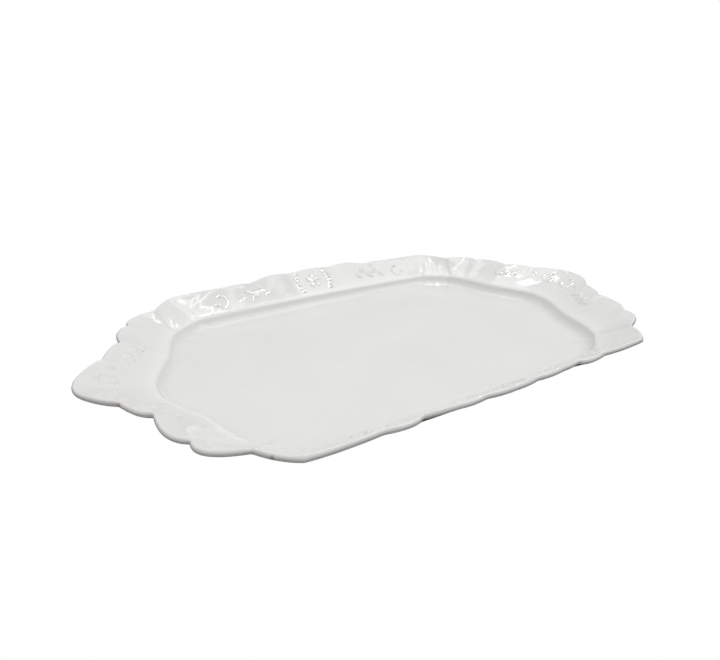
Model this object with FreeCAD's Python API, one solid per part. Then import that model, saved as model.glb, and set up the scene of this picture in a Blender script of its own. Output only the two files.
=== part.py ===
"""Moulded china serving platter with a scalloped rim, a sunk well and raised ornament.

Frame: millimetres, X along the length, Y across, +Z up, origin on the table under the centre.
The platter is the same in all four quarters. Every ring of the body is one closed line that
runs round the platter through the same stations, so the coats of glaze share its faces.
"""
import FreeCAD, Part
import math
import os

Vector = FreeCAD.Vector

# ---- Overall sizes
LENGTH = 400.0                # tip to tip, over the glaze
WIDTH = 250.0                 # across the middle lobes, over the glaze
WELL_DEPTH = 22.0             # mean lip down to the flat floor
SHOULDER_DROP = 13.3          # mean lip down to the foot of the flange
END_FLANGE = 43.0             # flange width at the tips
SIDE_FLANGE = 27.0            # flange width at the middle of the long sides

# ---- Wall sizes
LIP_THICKNESS = 3.8           # lip, over the glaze
LIP_ROUNDING = 1.9            # how far the rounded lip reaches in from its edge
FLOOR_THICKNESS = 4.5         # floor, over both coats
FLANGE_THICKNESS = 4.6        # flange at its foot, over both coats
COVE_RUN = 7.4                # curved band between the wall and the flat floor
WALL_RISE = 2.7               # short steep wall between the shoulder and the cove
WALL_LEAN = 1.2               # how far the wall leans out over its rise
SHOULDER_RUN = 2.4            # rounded step between the wall and the flange
SHOULDER_RISE = 1.5
HEEL_RUN = 5.0                # curved underside between the flange and the base
GLAZE = 0.4                   # thickness of each coat
LEVEL_RUN = 10.0              # level stretch of floor and base that a section starts from

# ---- Foot ring
FOOT_HEIGHT = 2.5
FOOT_WIDTH = 5.0              # where it joins the base
FOOT_TAPER = 0.7              # each side leans in by this much at the table
FOOT_SETBACK = 9.0            # from the foot of the flange in to the ring's outer side

# ---- Raised ornament
RELIEF = 1.5                  # height of petals, leaves and beads above the glaze
BEAD_RADIUS = 1.6
SCROLL_RADIUS = 1.2           # radius of a scroll's rounded stem

# One quarter of the plan, from the end tip round to the middle of a long side. Each row is a
# notch or peak of the rim: its place on the rim and on the foot of the flange, as shares of
# their half length and half width, and its height over the mean lip in millimetres.
STATIONS = (
    # rim x, rim y, well x, well y, lift
    (1.000, 0.000, 1.000, 0.000, -0.6),    # end tip
    (0.982, 0.103, 0.993, 0.110, -0.3),    # corner of the blunt nose
    (0.909, 0.228, 0.949, 0.265, -0.3),    # notch beside the nose
    (0.843, 0.388, 0.900, 0.415, -0.4),    # second notch
    (0.794, 0.628, 0.856, 0.663, -1.7),    # third notch
    (0.687, 0.796, 0.812, 0.806, -2.0),    # deep notch, top of a valley
    (0.603, 0.950, 0.680, 0.962, -1.0),    # corner, top of a ridge
    (0.402, 0.959, 0.500, 0.984, -0.4),    # soft notch on the long side
    (0.286, 0.952, 0.365, 0.991, -0.4),    # notch beside the raised lobe
    (0.184, 0.991, 0.225, 0.996, 2.3),     # peak of the raised lobe
    (0.092, 0.982, 0.125, 0.999, 1.3),     # notch beside the middle lobe
    (0.000, 1.000, 0.000, 1.000, 2.0),     # middle of the long side
)

# How each stretch between two stations bows out at the rim, in millimetres, and how far
# along the stretch the bow leans, as a share of its chord.
LOBES = (
    (0.9, 0.0),      # nose
    (1.2, 0.05),
    (2.6, 0.16),
    (5.0, 0.10),
    (6.2, -0.14),    # large corner lobe
    (1.6, 0.05),     # cut corner
    (1.0, 0.0),
    (2.4, 0.12),
    (0.4, 0.0),
    (0.7, -0.08),
    (0.6, 0.0),
)
WELL_BOW = 0.2                # bow of each stretch along the foot of the flange
MID_FLANGE = 0.5              # where the lobes have faded to half their bow

# ---- Places of the ornament on the flange. A place is a station, where 2.5 is half way from
# station 2 to station 3, and a share of the flange from its foot (0) to the rim (1).
MIDDLE = len(STATIONS) - 1
FLOWER_SHARE = 0.52
PETAL_COUNT = 5
PETAL_REACH = 4.6             # flower centre to the middle of a petal
PETAL_LENGTH = 4.4
PETAL_WIDTH = 4.0
ARC_BEADS = 6                 # beads in the arc at each side of the flower
ARC_RADIUS = 15.0
ARC_START = -32.0             # degrees from the length
ARC_SWEEP = 58.0
SPRIG_START = 8.65
SPRIG_END = 7.55
SPRIG_SHARE = 0.55
SPRIG_LEAVES = 5
SPRIG_SPREAD = 0.11           # how far the leaves stand to each side of the sprig's line
LEAF_LENGTH = 5.4
LEAF_WIDTH = 2.6
LEAF_LEAN = 40.0              # degrees that a leaf turns away from its line
SIDE_SCROLL = (6.85, 0.45)
SIDE_SCROLL_BEND = 5.0        # radius of the curl
SIDE_SCROLL_HEADING = 90.0    # where the curl starts, in degrees from the length
END_SCROLL = (0.80, 0.62)
END_SCROLL_BEND = 5.5
END_BEAD = (1.60, 0.72)
SPRAY_START = 2.20
SPRAY_END = 3.05
SPRAY_SHARE = 0.62
SPRAY_SPREAD = 0.05
SPRAY_LEAVES = 5
SCROLL_TURN = 250.0           # how far round a scroll goes, in degrees

SIDES = {"right": 1, "left": -1}
FACES = {"back": 1, "front": -1}


# ---------------------------------------------------------------- plan of the platter

def station_points(row):
    """Return a station's rim point, well point and lift."""
    rim_x, rim_y, well_x, well_y, lift = row
    rim = Vector(rim_x * LENGTH / 2, rim_y * WIDTH / 2, 0)
    well = Vector(well_x * (LENGTH / 2 - END_FLANGE), well_y * (WIDTH / 2 - SIDE_FLANGE), 0)
    return rim, well, lift


def bow_point(start, end, bow, lean):
    """Return the point a bowed stretch passes through, bowed away from the centre."""
    chord = end - start
    out = Vector(chord.y, -chord.x, 0).normalize()
    middle = (start + end) * 0.5
    if out.dot(middle) < 0:
        out = out * -1
    return middle + out * bow + chord * lean


def quarter_plan():
    """Return the stations of one quarter with a bow station between each pair."""
    plan = []
    ends = [station_points(row) for row in STATIONS]
    for index, (bow, lean) in enumerate(LOBES):
        rim_a, well_a, lift_a = ends[index]
        rim_b, well_b, lift_b = ends[index + 1]
        plan.append(ends[index])
        rim_mid = bow_point(rim_a, rim_b, bow, lean)
        well_mid = bow_point(well_a, well_b, WELL_BOW, 0)
        plan.append((rim_mid, well_mid, (lift_a + lift_b) / 2))
    plan.append(ends[-1])
    return plan


def mirrored(point, sign_x, sign_y):
    """Return a point mirrored into another quarter."""
    return Vector(point.x * sign_x, point.y * sign_y, point.z)


def full_plan():
    """Return the stations all round the platter, anticlockwise from the right tip."""
    quarter = quarter_plan()
    plan = []
    for sign_x, sign_y, forward in ((1, 1, True), (-1, 1, False), (-1, -1, True), (1, -1, False)):
        rows = quarter if forward else quarter[::-1]
        for rim, well, lift in rows[:-1]:
            plan.append((mirrored(rim, sign_x, sign_y), mirrored(well, sign_x, sign_y), lift))
    return plan


PLAN = full_plan()
STRETCHES = len(PLAN) // 2
RIM_HEIGHT = FOOT_HEIGHT + FLOOR_THICKNESS + WELL_DEPTH      # table to the mean lip
BASE_HEIGHT = FOOT_HEIGHT


# ---------------------------------------------------------------- section of the wall

FLOOR_EDGE = 0                # places in the section, from the floor out, over and under
COVE_RINGS = 3
FLANGE_FOOT = COVE_RINGS + 2
FLANGE_TOP = FLANGE_FOOT + 2
LIP_RING = FLANGE_TOP + 1
BASE_EDGE = LIP_RING + 3
COVE_TURN = math.radians(72.0)                # how far the cove turns up from the floor


def section(width, lift):
    """Return the glazed section at one station as (distance out, height) points.

    Distances are from the foot of the flange, positive towards the rim.
    """
    lip = RIM_HEIGHT + lift
    floor = RIM_HEIGHT - WELL_DEPTH
    shoulder = RIM_HEIGHT - SHOULDER_DROP
    wall_top = shoulder - SHOULDER_RISE
    wall_foot = wall_top - WALL_RISE
    points = []
    for step in range(COVE_RINGS):
        turn = COVE_TURN * step / COVE_RINGS
        run = COVE_RUN * (1 - math.sin(turn) / math.sin(COVE_TURN))
        rise = (wall_foot - floor) * (1 - math.cos(turn)) / (1 - math.cos(COVE_TURN))
        points.append((-WALL_LEAN / 2 - run, floor + rise))
    points.append((-WALL_LEAN / 2, wall_foot))
    points.append((WALL_LEAN / 2, wall_top))
    points.append((WALL_LEAN / 2 + SHOULDER_RUN, shoulder))
    flange_run = width - LIP_ROUNDING - WALL_LEAN / 2 - SHOULDER_RUN
    middle_run = WALL_LEAN / 2 + SHOULDER_RUN + flange_run * MID_FLANGE
    points.append((middle_run, shoulder + (lip - shoulder) * MID_FLANGE))
    points.append((width - LIP_ROUNDING, lip))
    points.append((width, lip - LIP_THICKNESS / 2))
    points.append((width - LIP_ROUNDING, lip - LIP_THICKNESS))
    points.append((WALL_LEAN / 2 + SHOULDER_RUN, shoulder - FLANGE_THICKNESS))
    points.append((-HEEL_RUN, BASE_HEIGHT))
    return points


def inset_section(points, depth):
    """Return the section moved into the wall by depth, with the floor and base kept flat."""
    floor = (points[0][0] - LEVEL_RUN, points[0][1])
    base = (points[-1][0] - LEVEL_RUN, points[-1][1])
    closed = [floor] + points + [base]
    moved = []
    for before, here, after in zip(closed, closed[1:], closed[2:]):
        into = (here[0] - before[0], here[1] - before[1])
        away = (after[0] - here[0], after[1] - here[1])
        size_into = math.hypot(*into)
        size_away = math.hypot(*away)
        normal_a = (into[1] / size_into, -into[0] / size_into)
        normal_b = (away[1] / size_away, -away[0] / size_away)
        mitre = 1 + normal_a[0] * normal_b[0] + normal_a[1] * normal_b[1]
        move_run = depth * (normal_a[0] + normal_b[0]) / mitre
        move_rise = depth * (normal_a[1] + normal_b[1]) / mitre
        moved.append((here[0] + move_run, here[1] + move_rise))
    return moved


def inside_well(well, setback, height):
    """Return the point at a height, a setback in from the foot of the flange."""
    share_x = 1 - setback / (LENGTH / 2 - END_FLANGE)
    share_y = 1 - setback / (WIDTH / 2 - SIDE_FLANGE)
    return Vector(well.x * share_x, well.y * share_y, height)


def ring_points(level, depth):
    """Return the points of one ring, two for each stretch of the rim."""
    points = []
    for rim, well, lift in PLAN:
        out = rim - well
        width = out.Length
        run, rise = inset_section(section(width, lift), depth)[level]
        if run < 0:
            points.append(inside_well(well, -run, rise))
        else:
            point = well + out * (run / width)
            points.append(Vector(point.x, point.y, rise))
    return points


def ring_edges(points):
    """Return one curved edge for each stretch, through its bow point."""
    edges = []
    for index in range(STRETCHES):
        start = points[2 * index]
        middle = points[2 * index + 1]
        end = points[(2 * index + 2) % len(points)]
        curve = Part.BezierCurve()
        curve.setPoles([start, middle * 2 - (start + end) * 0.5, end])
        edges.append(curve.toShape())
    return edges


def level_ring(setback, height):
    """Return a flat ring that follows the foot of the flange, setback in from it."""
    return ring_edges([inside_well(well, setback, height) for rim, well, lift in PLAN])


# ---------------------------------------------------------------- solids from rings

def strip(edges_a, edges_b):
    """Return the ruled faces between two rings."""
    return [Part.makeRuledSurface(a, b).Faces[0] for a, b in zip(edges_a, edges_b)]


def flat_face(outer, inner=None):
    """Return the flat face inside a ring, with an optional ring cut out of it."""
    face = Part.Face(Part.Wire(outer))
    if inner:
        face = face.cut(Part.Face(Part.Wire(inner))).Faces[0]
    return face


def solid_from(faces):
    """Return the solid that a closed set of faces bounds."""
    shell = Part.Shell(faces)
    shell.sewShape()
    solid = Part.Solid(shell)
    if solid.Volume < 0:
        solid.reverse()
    return solid


def strips(rings):
    """Return the faces between each ring and the next."""
    faces = []
    for one, other in zip(rings, rings[1:]):
        faces.extend(strip(one, other))
    return faces


COAT_RINGS = [ring_edges(ring_points(level, 0.0)) for level in range(BASE_EDGE + 1)]
BODY_RINGS = [ring_edges(ring_points(level, GLAZE)) for level in range(BASE_EDGE + 1)]


def clay_body():
    """Return the fired clay body: floor, cove, wall, flange, lip, underside and base."""
    faces = strips(BODY_RINGS)
    faces.append(flat_face(BODY_RINGS[FLOOR_EDGE]))
    faces.append(flat_face(BODY_RINGS[BASE_EDGE]))
    return solid_from(faces)


def face_glaze():
    """Return the coat on the side that is eaten from, out to the edge of the lip."""
    faces = strips(COAT_RINGS[:LIP_RING + 1])
    faces.extend(strips(BODY_RINGS[:LIP_RING + 1]))
    faces.extend(strip(COAT_RINGS[LIP_RING], BODY_RINGS[LIP_RING]))
    faces.append(flat_face(COAT_RINGS[FLOOR_EDGE]))
    faces.append(flat_face(BODY_RINGS[FLOOR_EDGE]))
    return solid_from(faces)


def back_glaze():
    """Return the coat on the underside, from the edge of the lip in to the foot ring."""
    foot_top = level_ring(FOOT_SETBACK, BASE_HEIGHT + GLAZE)
    foot_side = level_ring(FOOT_SETBACK, BASE_HEIGHT)
    faces = strips(COAT_RINGS[LIP_RING:])
    faces.extend(strips(BODY_RINGS[LIP_RING:]))
    faces.extend(strip(COAT_RINGS[LIP_RING], BODY_RINGS[LIP_RING]))
    faces.append(flat_face(COAT_RINGS[BASE_EDGE], foot_side))
    faces.append(flat_face(BODY_RINGS[BASE_EDGE], foot_top))
    faces.extend(strip(foot_side, foot_top))
    return solid_from(faces)


def base_glaze():
    """Return the coat on the base, inside the foot ring."""
    inner = flat_face(level_ring(FOOT_SETBACK + FOOT_WIDTH, BASE_HEIGHT))
    return inner.extrude(Vector(0, 0, GLAZE))


def foot_ring():
    """Return the bare ring that the platter stands on, from the body down to the table."""
    top = BASE_HEIGHT + GLAZE
    outer_top = level_ring(FOOT_SETBACK, top)
    outer_side = level_ring(FOOT_SETBACK, BASE_HEIGHT)
    outer_foot = level_ring(FOOT_SETBACK + FOOT_TAPER, BASE_HEIGHT - FOOT_HEIGHT)
    inner_foot = level_ring(FOOT_SETBACK + FOOT_WIDTH - FOOT_TAPER, BASE_HEIGHT - FOOT_HEIGHT)
    inner_side = level_ring(FOOT_SETBACK + FOOT_WIDTH, BASE_HEIGHT)
    inner_top = level_ring(FOOT_SETBACK + FOOT_WIDTH, top)
    faces = strips([outer_top, outer_side, outer_foot])
    faces.extend(strips([inner_foot, inner_side, inner_top]))
    faces.append(flat_face(outer_top, inner_top))
    faces.append(flat_face(outer_foot, inner_foot))
    return solid_from(faces)


# ---------------------------------------------------------------- raised ornament

def flange_faces():
    """Return the glazed faces of the flange, from its foot out to the lip."""
    return strips(COAT_RINGS[FLANGE_FOOT:FLANGE_TOP + 1])


FLANGE = flange_faces()
BED_DEPTH = 3 * RELIEF        # depth of the blocks that ornament is trimmed against
TOUCHING = 1e-6               # gap under which a line meets a face


def seat(x, y):
    """Return the point on the flange above a place in plan, and the outward normal there."""
    upright = Part.makeLine(Vector(x, y, 0), Vector(x, y, 3 * RIM_HEIGHT))
    for face in FLANGE:
        box = face.BoundBox
        if box.XMin <= x <= box.XMax and box.YMin <= y <= box.YMax:
            gap, pairs, _ = upright.distToShape(face)
            if gap < TOUCHING:
                point = pairs[0][1]
                normal = face.normalAt(*face.Surface.parameter(point))
                return point, normal if normal.z > 0 else normal * -1
    raise ValueError("no flange at %.1f, %.1f" % (x, y))


def flange_place(station, share):
    """Return the place in plan at a station and a share of the flange, foot to rim."""
    index = min(int(station), MIDDLE - 1)
    part = station - index
    rim_a, well_a, _ = station_points(STATIONS[index])
    rim_b, well_b, _ = station_points(STATIONS[index + 1])
    rim = rim_a * (1 - part) + rim_b * part
    well = well_a * (1 - part) + well_b * part
    return well * (1 - share) + rim * share


def stood_on_flange(shape, x, y, heading):
    """Return a shape moved on to the flange at a place, turned by heading degrees in plan."""
    point, normal = seat(x, y)
    along = Vector(math.cos(math.radians(heading)), math.sin(math.radians(heading)), 0)
    side = normal.cross(along).normalize()
    forward = side.cross(normal)
    moved = shape.copy()
    moved.Placement = FreeCAD.Placement(point, FreeCAD.Rotation(forward, side, normal, "ZXY"))
    return moved


def trimmed(shape):
    """Return the part of a shape that stands above the flange."""
    box = shape.BoundBox
    beds = [face.extrude(Vector(0, 0, -BED_DEPTH)) for face in FLANGE if face.BoundBox.intersect(box)]
    return shape.cut(beds).Solids


def dome(length, width):
    """Return an egg-shaped solid whose upper half is a petal or leaf of the relief's height."""
    scale = FreeCAD.Matrix()
    scale.scale(length / 2, width / 2, RELIEF)
    return Part.makeSphere(1.0).transformGeometry(scale)


def bead():
    """Return a round bead that stands above the surface by the relief's height."""
    return Part.makeSphere(BEAD_RADIUS, Vector(0, 0, RELIEF - BEAD_RADIUS))


def scroll(bend, turn):
    """Return a curled stem with a round boss at each end."""
    stem = Part.makeTorus(bend, SCROLL_RADIUS, Vector(0, 0, 0), Vector(0, 0, 1), 0, 360, turn)
    curl = math.radians(turn)
    first = Part.makeSphere(BEAD_RADIUS, Vector(bend, 0, 0))
    last = Part.makeSphere(BEAD_RADIUS, Vector(bend * math.cos(curl), bend * math.sin(curl), 0))
    return stem.fuse([first, last])


def grouped(shapes):
    """Return one group of separate solids, each trimmed to the part above the flange."""
    solids = []
    for shape in shapes:
        solids.extend(trimmed(shape))
    return Part.Compound(solids)


def mirrored_across(shape, sign_x, sign_y):
    """Return a shape of the back right quarter mirrored into another quarter."""
    middle = Vector(0, 0, 0)
    if sign_x < 0:
        shape = shape.mirror(middle, Vector(1, 0, 0))
    if sign_y < 0:
        shape = shape.mirror(middle, Vector(0, 1, 0))
    return shape


def flower():
    """Return the flower at the middle of the back long side: petals round a bead."""
    middle = flange_place(MIDDLE, FLOWER_SHARE)
    shapes = [stood_on_flange(bead(), middle.x, middle.y, 0)]
    for index in range(PETAL_COUNT):
        heading = 90 + index * 360 / PETAL_COUNT
        x = middle.x + PETAL_REACH * math.cos(math.radians(heading))
        y = middle.y + PETAL_REACH * math.sin(math.radians(heading))
        shapes.append(stood_on_flange(dome(PETAL_LENGTH, PETAL_WIDTH), x, y, heading))
    return grouped(shapes)


def bead_arcs():
    """Return the arcs of beads at both sides of the back flower."""
    shapes = []
    middle = flange_place(MIDDLE, FLOWER_SHARE)
    for index in range(ARC_BEADS):
        turn = math.radians(ARC_START + ARC_SWEEP * index / (ARC_BEADS - 1))
        for sign_x in SIDES.values():
            x = sign_x * ARC_RADIUS * math.cos(turn)
            y = middle.y + ARC_RADIUS * math.sin(turn)
            shapes.append(stood_on_flange(bead(), x, y, 0))
    return grouped(shapes)


def leaf_row(start, end, share, spread, count):
    """Return leaves from one station to another, leaning out to both sides of their line."""
    shapes = []
    first = flange_place(start, share)
    last = flange_place(end, share)
    line = math.degrees(math.atan2(last.y - first.y, last.x - first.x))
    for index in range(count):
        lean = 1 if index % 2 else -1
        station = start + (end - start) * index / (count - 1)
        place = flange_place(station, share + lean * spread)
        turn = line + lean * LEAF_LEAN
        shapes.append(stood_on_flange(dome(LEAF_LENGTH, LEAF_WIDTH), place.x, place.y, turn))
    return grouped(shapes)


def leaf_sprig():
    """Return the sprig of leaves along a long side."""
    return leaf_row(SPRIG_START, SPRIG_END, SPRIG_SHARE, SPRIG_SPREAD, SPRIG_LEAVES)


def end_spray():
    """Return the spray of leaves that follows the rim beside an end scroll."""
    return leaf_row(SPRAY_START, SPRAY_END, SPRAY_SHARE, SPRAY_SPREAD, SPRAY_LEAVES)


def side_scroll():
    """Return the curled stem beyond a leaf sprig."""
    place = flange_place(*SIDE_SCROLL)
    curl = scroll(SIDE_SCROLL_BEND, SCROLL_TURN)
    return grouped([stood_on_flange(curl, place.x, place.y, SIDE_SCROLL_HEADING)])


def end_scroll():
    """Return a curled stem beside the tip, with a bead beyond it."""
    curl_place = flange_place(*END_SCROLL)
    bead_place = flange_place(*END_BEAD)
    curl = scroll(END_SCROLL_BEND, SCROLL_TURN)
    return grouped([
        stood_on_flange(curl, curl_place.x, curl_place.y, 0),
        stood_on_flange(bead(), bead_place.x, bead_place.y, 0),
    ])


# ---------------------------------------------------------------- output

def pieces():
    """Return every sub-part by name."""
    made = {
        "clay_body": clay_body(),
        "foot_ring": foot_ring(),
        "face_glaze": face_glaze(),
        "back_glaze": back_glaze(),
        "base_glaze": base_glaze(),
    }
    at_the_flower = {"flower": flower(), "bead_arcs": bead_arcs()}
    beside_the_flower = {
        "leaf_sprig": leaf_sprig(),
        "side_scroll": side_scroll(),
        "end_spray": end_spray(),
    }
    curl = end_scroll()
    for side, sign_x in SIDES.items():
        pair = [mirrored_across(curl, sign_x, sign_y) for sign_y in FACES.values()]
        made["end_scrolls_" + side] = Part.Compound([solid for half in pair for solid in half.Solids])
        for face, sign_y in FACES.items():
            for name, shape in beside_the_flower.items():
                made["%s_%s_%s" % (name, face, side)] = mirrored_across(shape, sign_x, sign_y)
    for face, sign_y in FACES.items():
        for name, shape in at_the_flower.items():
            made["%s_%s" % (name, face)] = mirrored_across(shape, 1, sign_y)
    return made


def main():
    """Write every sub-part as its own STEP file."""
    os.makedirs("parts", exist_ok=True)
    for name, shape in pieces().items():
        shape.exportStep("parts/" + name + ".step")
        box = shape.BoundBox
        print("%-24s valid %s, %d solids, %.0f mm3, %.1f x %.1f mm, z %.2f to %.2f" % (
            name, shape.isValid(), len(shape.Solids), shape.Volume,
            box.XLength, box.YLength, box.ZMin, box.ZMax))


main()
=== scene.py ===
"""Moulded china serving platter: glazed face and back, clay body, foot ring and raised ornament.

Sizes in this script are millimetres until a mesh is made, and metres from there on.
"""

import logging
import math
from dataclasses import dataclass, field
from enum import Enum
from typing import Dict, List, Optional, Sequence, Tuple

import bpy
import numpy as np
from mathutils import Matrix, Vector
from mathutils.bvhtree import BVHTree


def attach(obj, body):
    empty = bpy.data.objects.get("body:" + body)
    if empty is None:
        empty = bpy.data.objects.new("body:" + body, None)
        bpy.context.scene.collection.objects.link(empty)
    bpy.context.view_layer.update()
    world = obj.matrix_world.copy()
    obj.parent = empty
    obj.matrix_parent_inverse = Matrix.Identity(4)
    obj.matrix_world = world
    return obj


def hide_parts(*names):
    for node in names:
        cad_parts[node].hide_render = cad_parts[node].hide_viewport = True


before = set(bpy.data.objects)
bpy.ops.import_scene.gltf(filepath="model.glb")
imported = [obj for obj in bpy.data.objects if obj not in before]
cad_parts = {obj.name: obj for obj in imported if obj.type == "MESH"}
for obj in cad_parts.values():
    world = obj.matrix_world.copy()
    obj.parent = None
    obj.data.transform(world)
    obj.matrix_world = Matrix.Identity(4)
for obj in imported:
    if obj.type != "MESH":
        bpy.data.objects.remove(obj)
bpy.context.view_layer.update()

log = logging.getLogger("platter")
METRE = 0.001
Array = np.ndarray
Plan = Tuple[float, float]
Place = Tuple[float, float, float]


class Slot(Enum):
    """The record's finishes."""

    GLAZE = "white_glaze"
    CLAY = "fired_clay"
    FOOT = "bare_foot"


class Quarter(Enum):
    """The four quarters of the platter, as signs of X and Y."""

    BACK_RIGHT = (1, 1)
    BACK_LEFT = (-1, 1)
    FRONT_LEFT = (-1, -1)
    FRONT_RIGHT = (1, -1)

    @property
    def side(self) -> str:
        """Return the name of the long side that the quarter is on."""
        return "back" if self.value[1] > 0 else "front"

    @property
    def suffix(self) -> str:
        """Return the ending of the names of this quarter's pieces."""
        return self.side + ("_right" if self.value[0] > 0 else "_left")


@dataclass(frozen=True)
class Station:
    """A notch or corner of the rim, with the line that runs in from it."""

    rim: Plan            # shares of the half length and half width
    well: Plan           # the same for the foot of the flange
    lift: float          # over the mean lip
    notch: float = 0.0   # depth of a crease near the rim, 1 is a full one
    valley: float = 0.0  # depth of a line over the whole flange, negative is a ridge


@dataclass(frozen=True)
class Stretch:
    """The edge between two stations."""

    bow: float           # how far it bows out
    lean: float          # where the bow is, as a share of the chord
    puff: float = 0.0    # how full the petal behind it is, 1 is a full one
    flutes: int = 0      # shallow grooves from rim to well


STATIONS: Tuple[Station, ...] = (
    Station((1.000, 0.000), (1.000, 0.000), -0.6),
    Station((0.982, 0.103), (0.993, 0.110), -0.3, notch=0.3),
    Station((0.909, 0.228), (0.949, 0.265), -0.3, notch=1.0),
    Station((0.843, 0.388), (0.900, 0.415), -0.4, notch=1.0),
    Station((0.794, 0.628), (0.856, 0.663), -1.7, notch=1.0),
    Station((0.687, 0.796), (0.812, 0.806), -2.0, notch=0.6, valley=1.0),
    Station((0.603, 0.950), (0.680, 0.962), -1.0, valley=-0.7),
    Station((0.402, 0.959), (0.500, 0.984), -0.4, notch=0.3),
    Station((0.286, 0.952), (0.365, 0.991), -0.4, notch=0.5),
    Station((0.184, 0.991), (0.225, 0.996), 2.3),
    Station((0.092, 0.982), (0.125, 0.999), 1.3, notch=0.5),
    Station((0.000, 1.000), (0.000, 1.000), 2.0),
)
STRETCHES: Tuple[Stretch, ...] = (
    Stretch(0.9, 0.0, puff=0.5),
    Stretch(1.2, 0.05, puff=0.6),
    Stretch(2.6, 0.16, puff=0.8),
    Stretch(5.0, 0.10, puff=1.0),
    Stretch(6.2, -0.14, puff=1.1),
    Stretch(1.6, 0.05, flutes=3),
    Stretch(1.0, 0.0, puff=0.3),
    Stretch(2.4, 0.12, puff=0.5),
    Stretch(0.4, 0.0, puff=0.4),
    Stretch(0.7, -0.08, puff=0.4),
    Stretch(0.6, 0.0, puff=0.4),
)
MIDDLE = len(STATIONS) - 1


# ------------------------------------------------------------------ small helpers

def smoothstep(low: float, high: float, value: Array) -> Array:
    """Return 0 below low, 1 above high and a soft step between.

    Args:
        low: where the step starts.
        high: where it ends.
        value: the values.

    Returns:
        A share for each value.
    """
    share = np.clip((value - low) / (high - low), 0.0, 1.0)
    return share * share * (3.0 - 2.0 * share)


def cubic(points: Sequence[Tuple[Array, Array]], count: int, last: bool = False) -> List[Tuple[Array, Array]]:
    """Return points along a cubic Bezier curve.

    Args:
        points: the four control points, each a pair of arrays.
        count: number of steps along the curve.
        last: whether the end point is among them.

    Returns:
        One pair of arrays for each step.
    """
    made = []
    for step in range(count + (1 if last else 0)):
        t = step / count
        weights = ((1 - t) ** 3, 3 * t * (1 - t) ** 2, 3 * t * t * (1 - t), t ** 3)
        run = sum(w * p[0] for w, p in zip(weights, points))
        rise = sum(w * p[1] for w, p in zip(weights, points))
        made.append((run, rise))
    return made


def soft_loop(values: Array, sigma: float) -> Array:
    """Return a closed loop of evenly spaced values, smoothed.

    Args:
        values: the values round the loop.
        sigma: width of the smoothing, in samples.

    Returns:
        The smoothed values.
    """
    steps = np.fft.rfftfreq(len(values))
    spectrum = np.fft.rfft(values) * np.exp(-2 * (math.pi * steps * sigma) ** 2)
    return np.fft.irfft(spectrum, len(values))


def grid_faces(rings: int, around: int, closed_up: bool = False, flip: bool = False) -> List[Tuple[int, ...]]:
    """Return the faces of a grid of rings that is closed all round.

    Args:
        rings: number of rings.
        around: number of points in each ring.
        closed_up: whether the last ring joins on to the first.
        flip: whether the faces point the other way.

    Returns:
        The faces as tuples of point numbers.
    """
    faces = []
    for ring in range(rings if closed_up else rings - 1):
        low = ring * around
        high = ((ring + 1) % rings) * around
        for here in range(around):
            there = (here + 1) % around
            face = (low + here, low + there, high + there, high + here)
            faces.append(face[::-1] if flip else face)
    return faces


def capped_faces(rings: int, around: int, flip: bool = False) -> List[Tuple[int, ...]]:
    """Return the faces of a grid of rings with a fan over its first ring and one over its last.

    Args:
        rings: number of rings.
        around: number of points in each ring.
        flip: whether the faces point the other way.

    Returns:
        The faces; the middles of the two fans are the two points after the rings.
    """
    faces = grid_faces(rings, around, flip=flip)
    middle = rings * around
    last = middle - around
    for here in range(around):
        there = (here + 1) % around
        near, far = (here, there) if flip else (there, here)
        faces.append((middle, near, far))
        faces.append((middle + 1, last + far, last + near))
    return faces


def new_object(name: str, points: Array, faces: Sequence[Sequence[int]]) -> bpy.types.Object:
    """Return a smooth mesh object in the scene.

    Args:
        name: its name.
        points: its points, in millimetres.
        faces: its faces, as point numbers.

    Returns:
        The object.
    """
    mesh = bpy.data.meshes.new(name)
    mesh.from_pydata((np.asarray(points) * METRE).tolist(), [], faces)
    mesh.polygons.foreach_set("use_smooth", [True] * len(mesh.polygons))
    mesh.update()
    made = bpy.data.objects.new(name, mesh)
    bpy.context.scene.collection.objects.link(made)
    return made


def new_line(name: str, points: Sequence[Place], closed: bool) -> bpy.types.Object:
    """Return an object in the scene that is only a line.

    Args:
        name: its name.
        points: its points, in metres.
        closed: whether the last point joins on to the first.

    Returns:
        The object.
    """
    count = len(points)
    edges = [(here, (here + 1) % count) for here in range(count if closed else count - 1)]
    mesh = bpy.data.meshes.new(name)
    mesh.from_pydata(points, edges, [])
    made = bpy.data.objects.new(name, mesh)
    bpy.context.scene.collection.objects.link(made)
    return made


def add_field(owner: bpy.types.Object, name: str, values: Array, kind: str = "FLOAT") -> None:
    """Store one value for each point of an object's mesh.

    Args:
        owner: the object.
        name: name of the attribute.
        values: the values, flat.
        kind: FLOAT or FLOAT_VECTOR.
    """
    made = owner.data.attributes.new(name, kind, "POINT")
    key = "vector" if kind == "FLOAT_VECTOR" else "value"
    made.data.foreach_set(key, np.asarray(values, dtype=np.float32).ravel())


def mesh_points(owner: bpy.types.Object) -> Array:
    """Return the points of an object's mesh, in millimetres."""
    flat = np.empty(len(owner.data.vertices) * 3)
    owner.data.vertices.foreach_get("co", flat)
    return flat.reshape(-1, 3) / METRE


def fixed_shape(owner: bpy.types.Object) -> None:
    """Turn what an object's modifiers make into its own plain mesh, and remove them."""
    depsgraph = bpy.context.evaluated_depsgraph_get()
    made = bpy.data.meshes.new_from_object(owner.evaluated_get(depsgraph), depsgraph=depsgraph)
    old = owner.data
    owner.modifiers.clear()
    owner.data = made
    made.name = owner.name
    bpy.data.meshes.remove(old)
    made.polygons.foreach_set("use_smooth", [True] * len(made.polygons))


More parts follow.
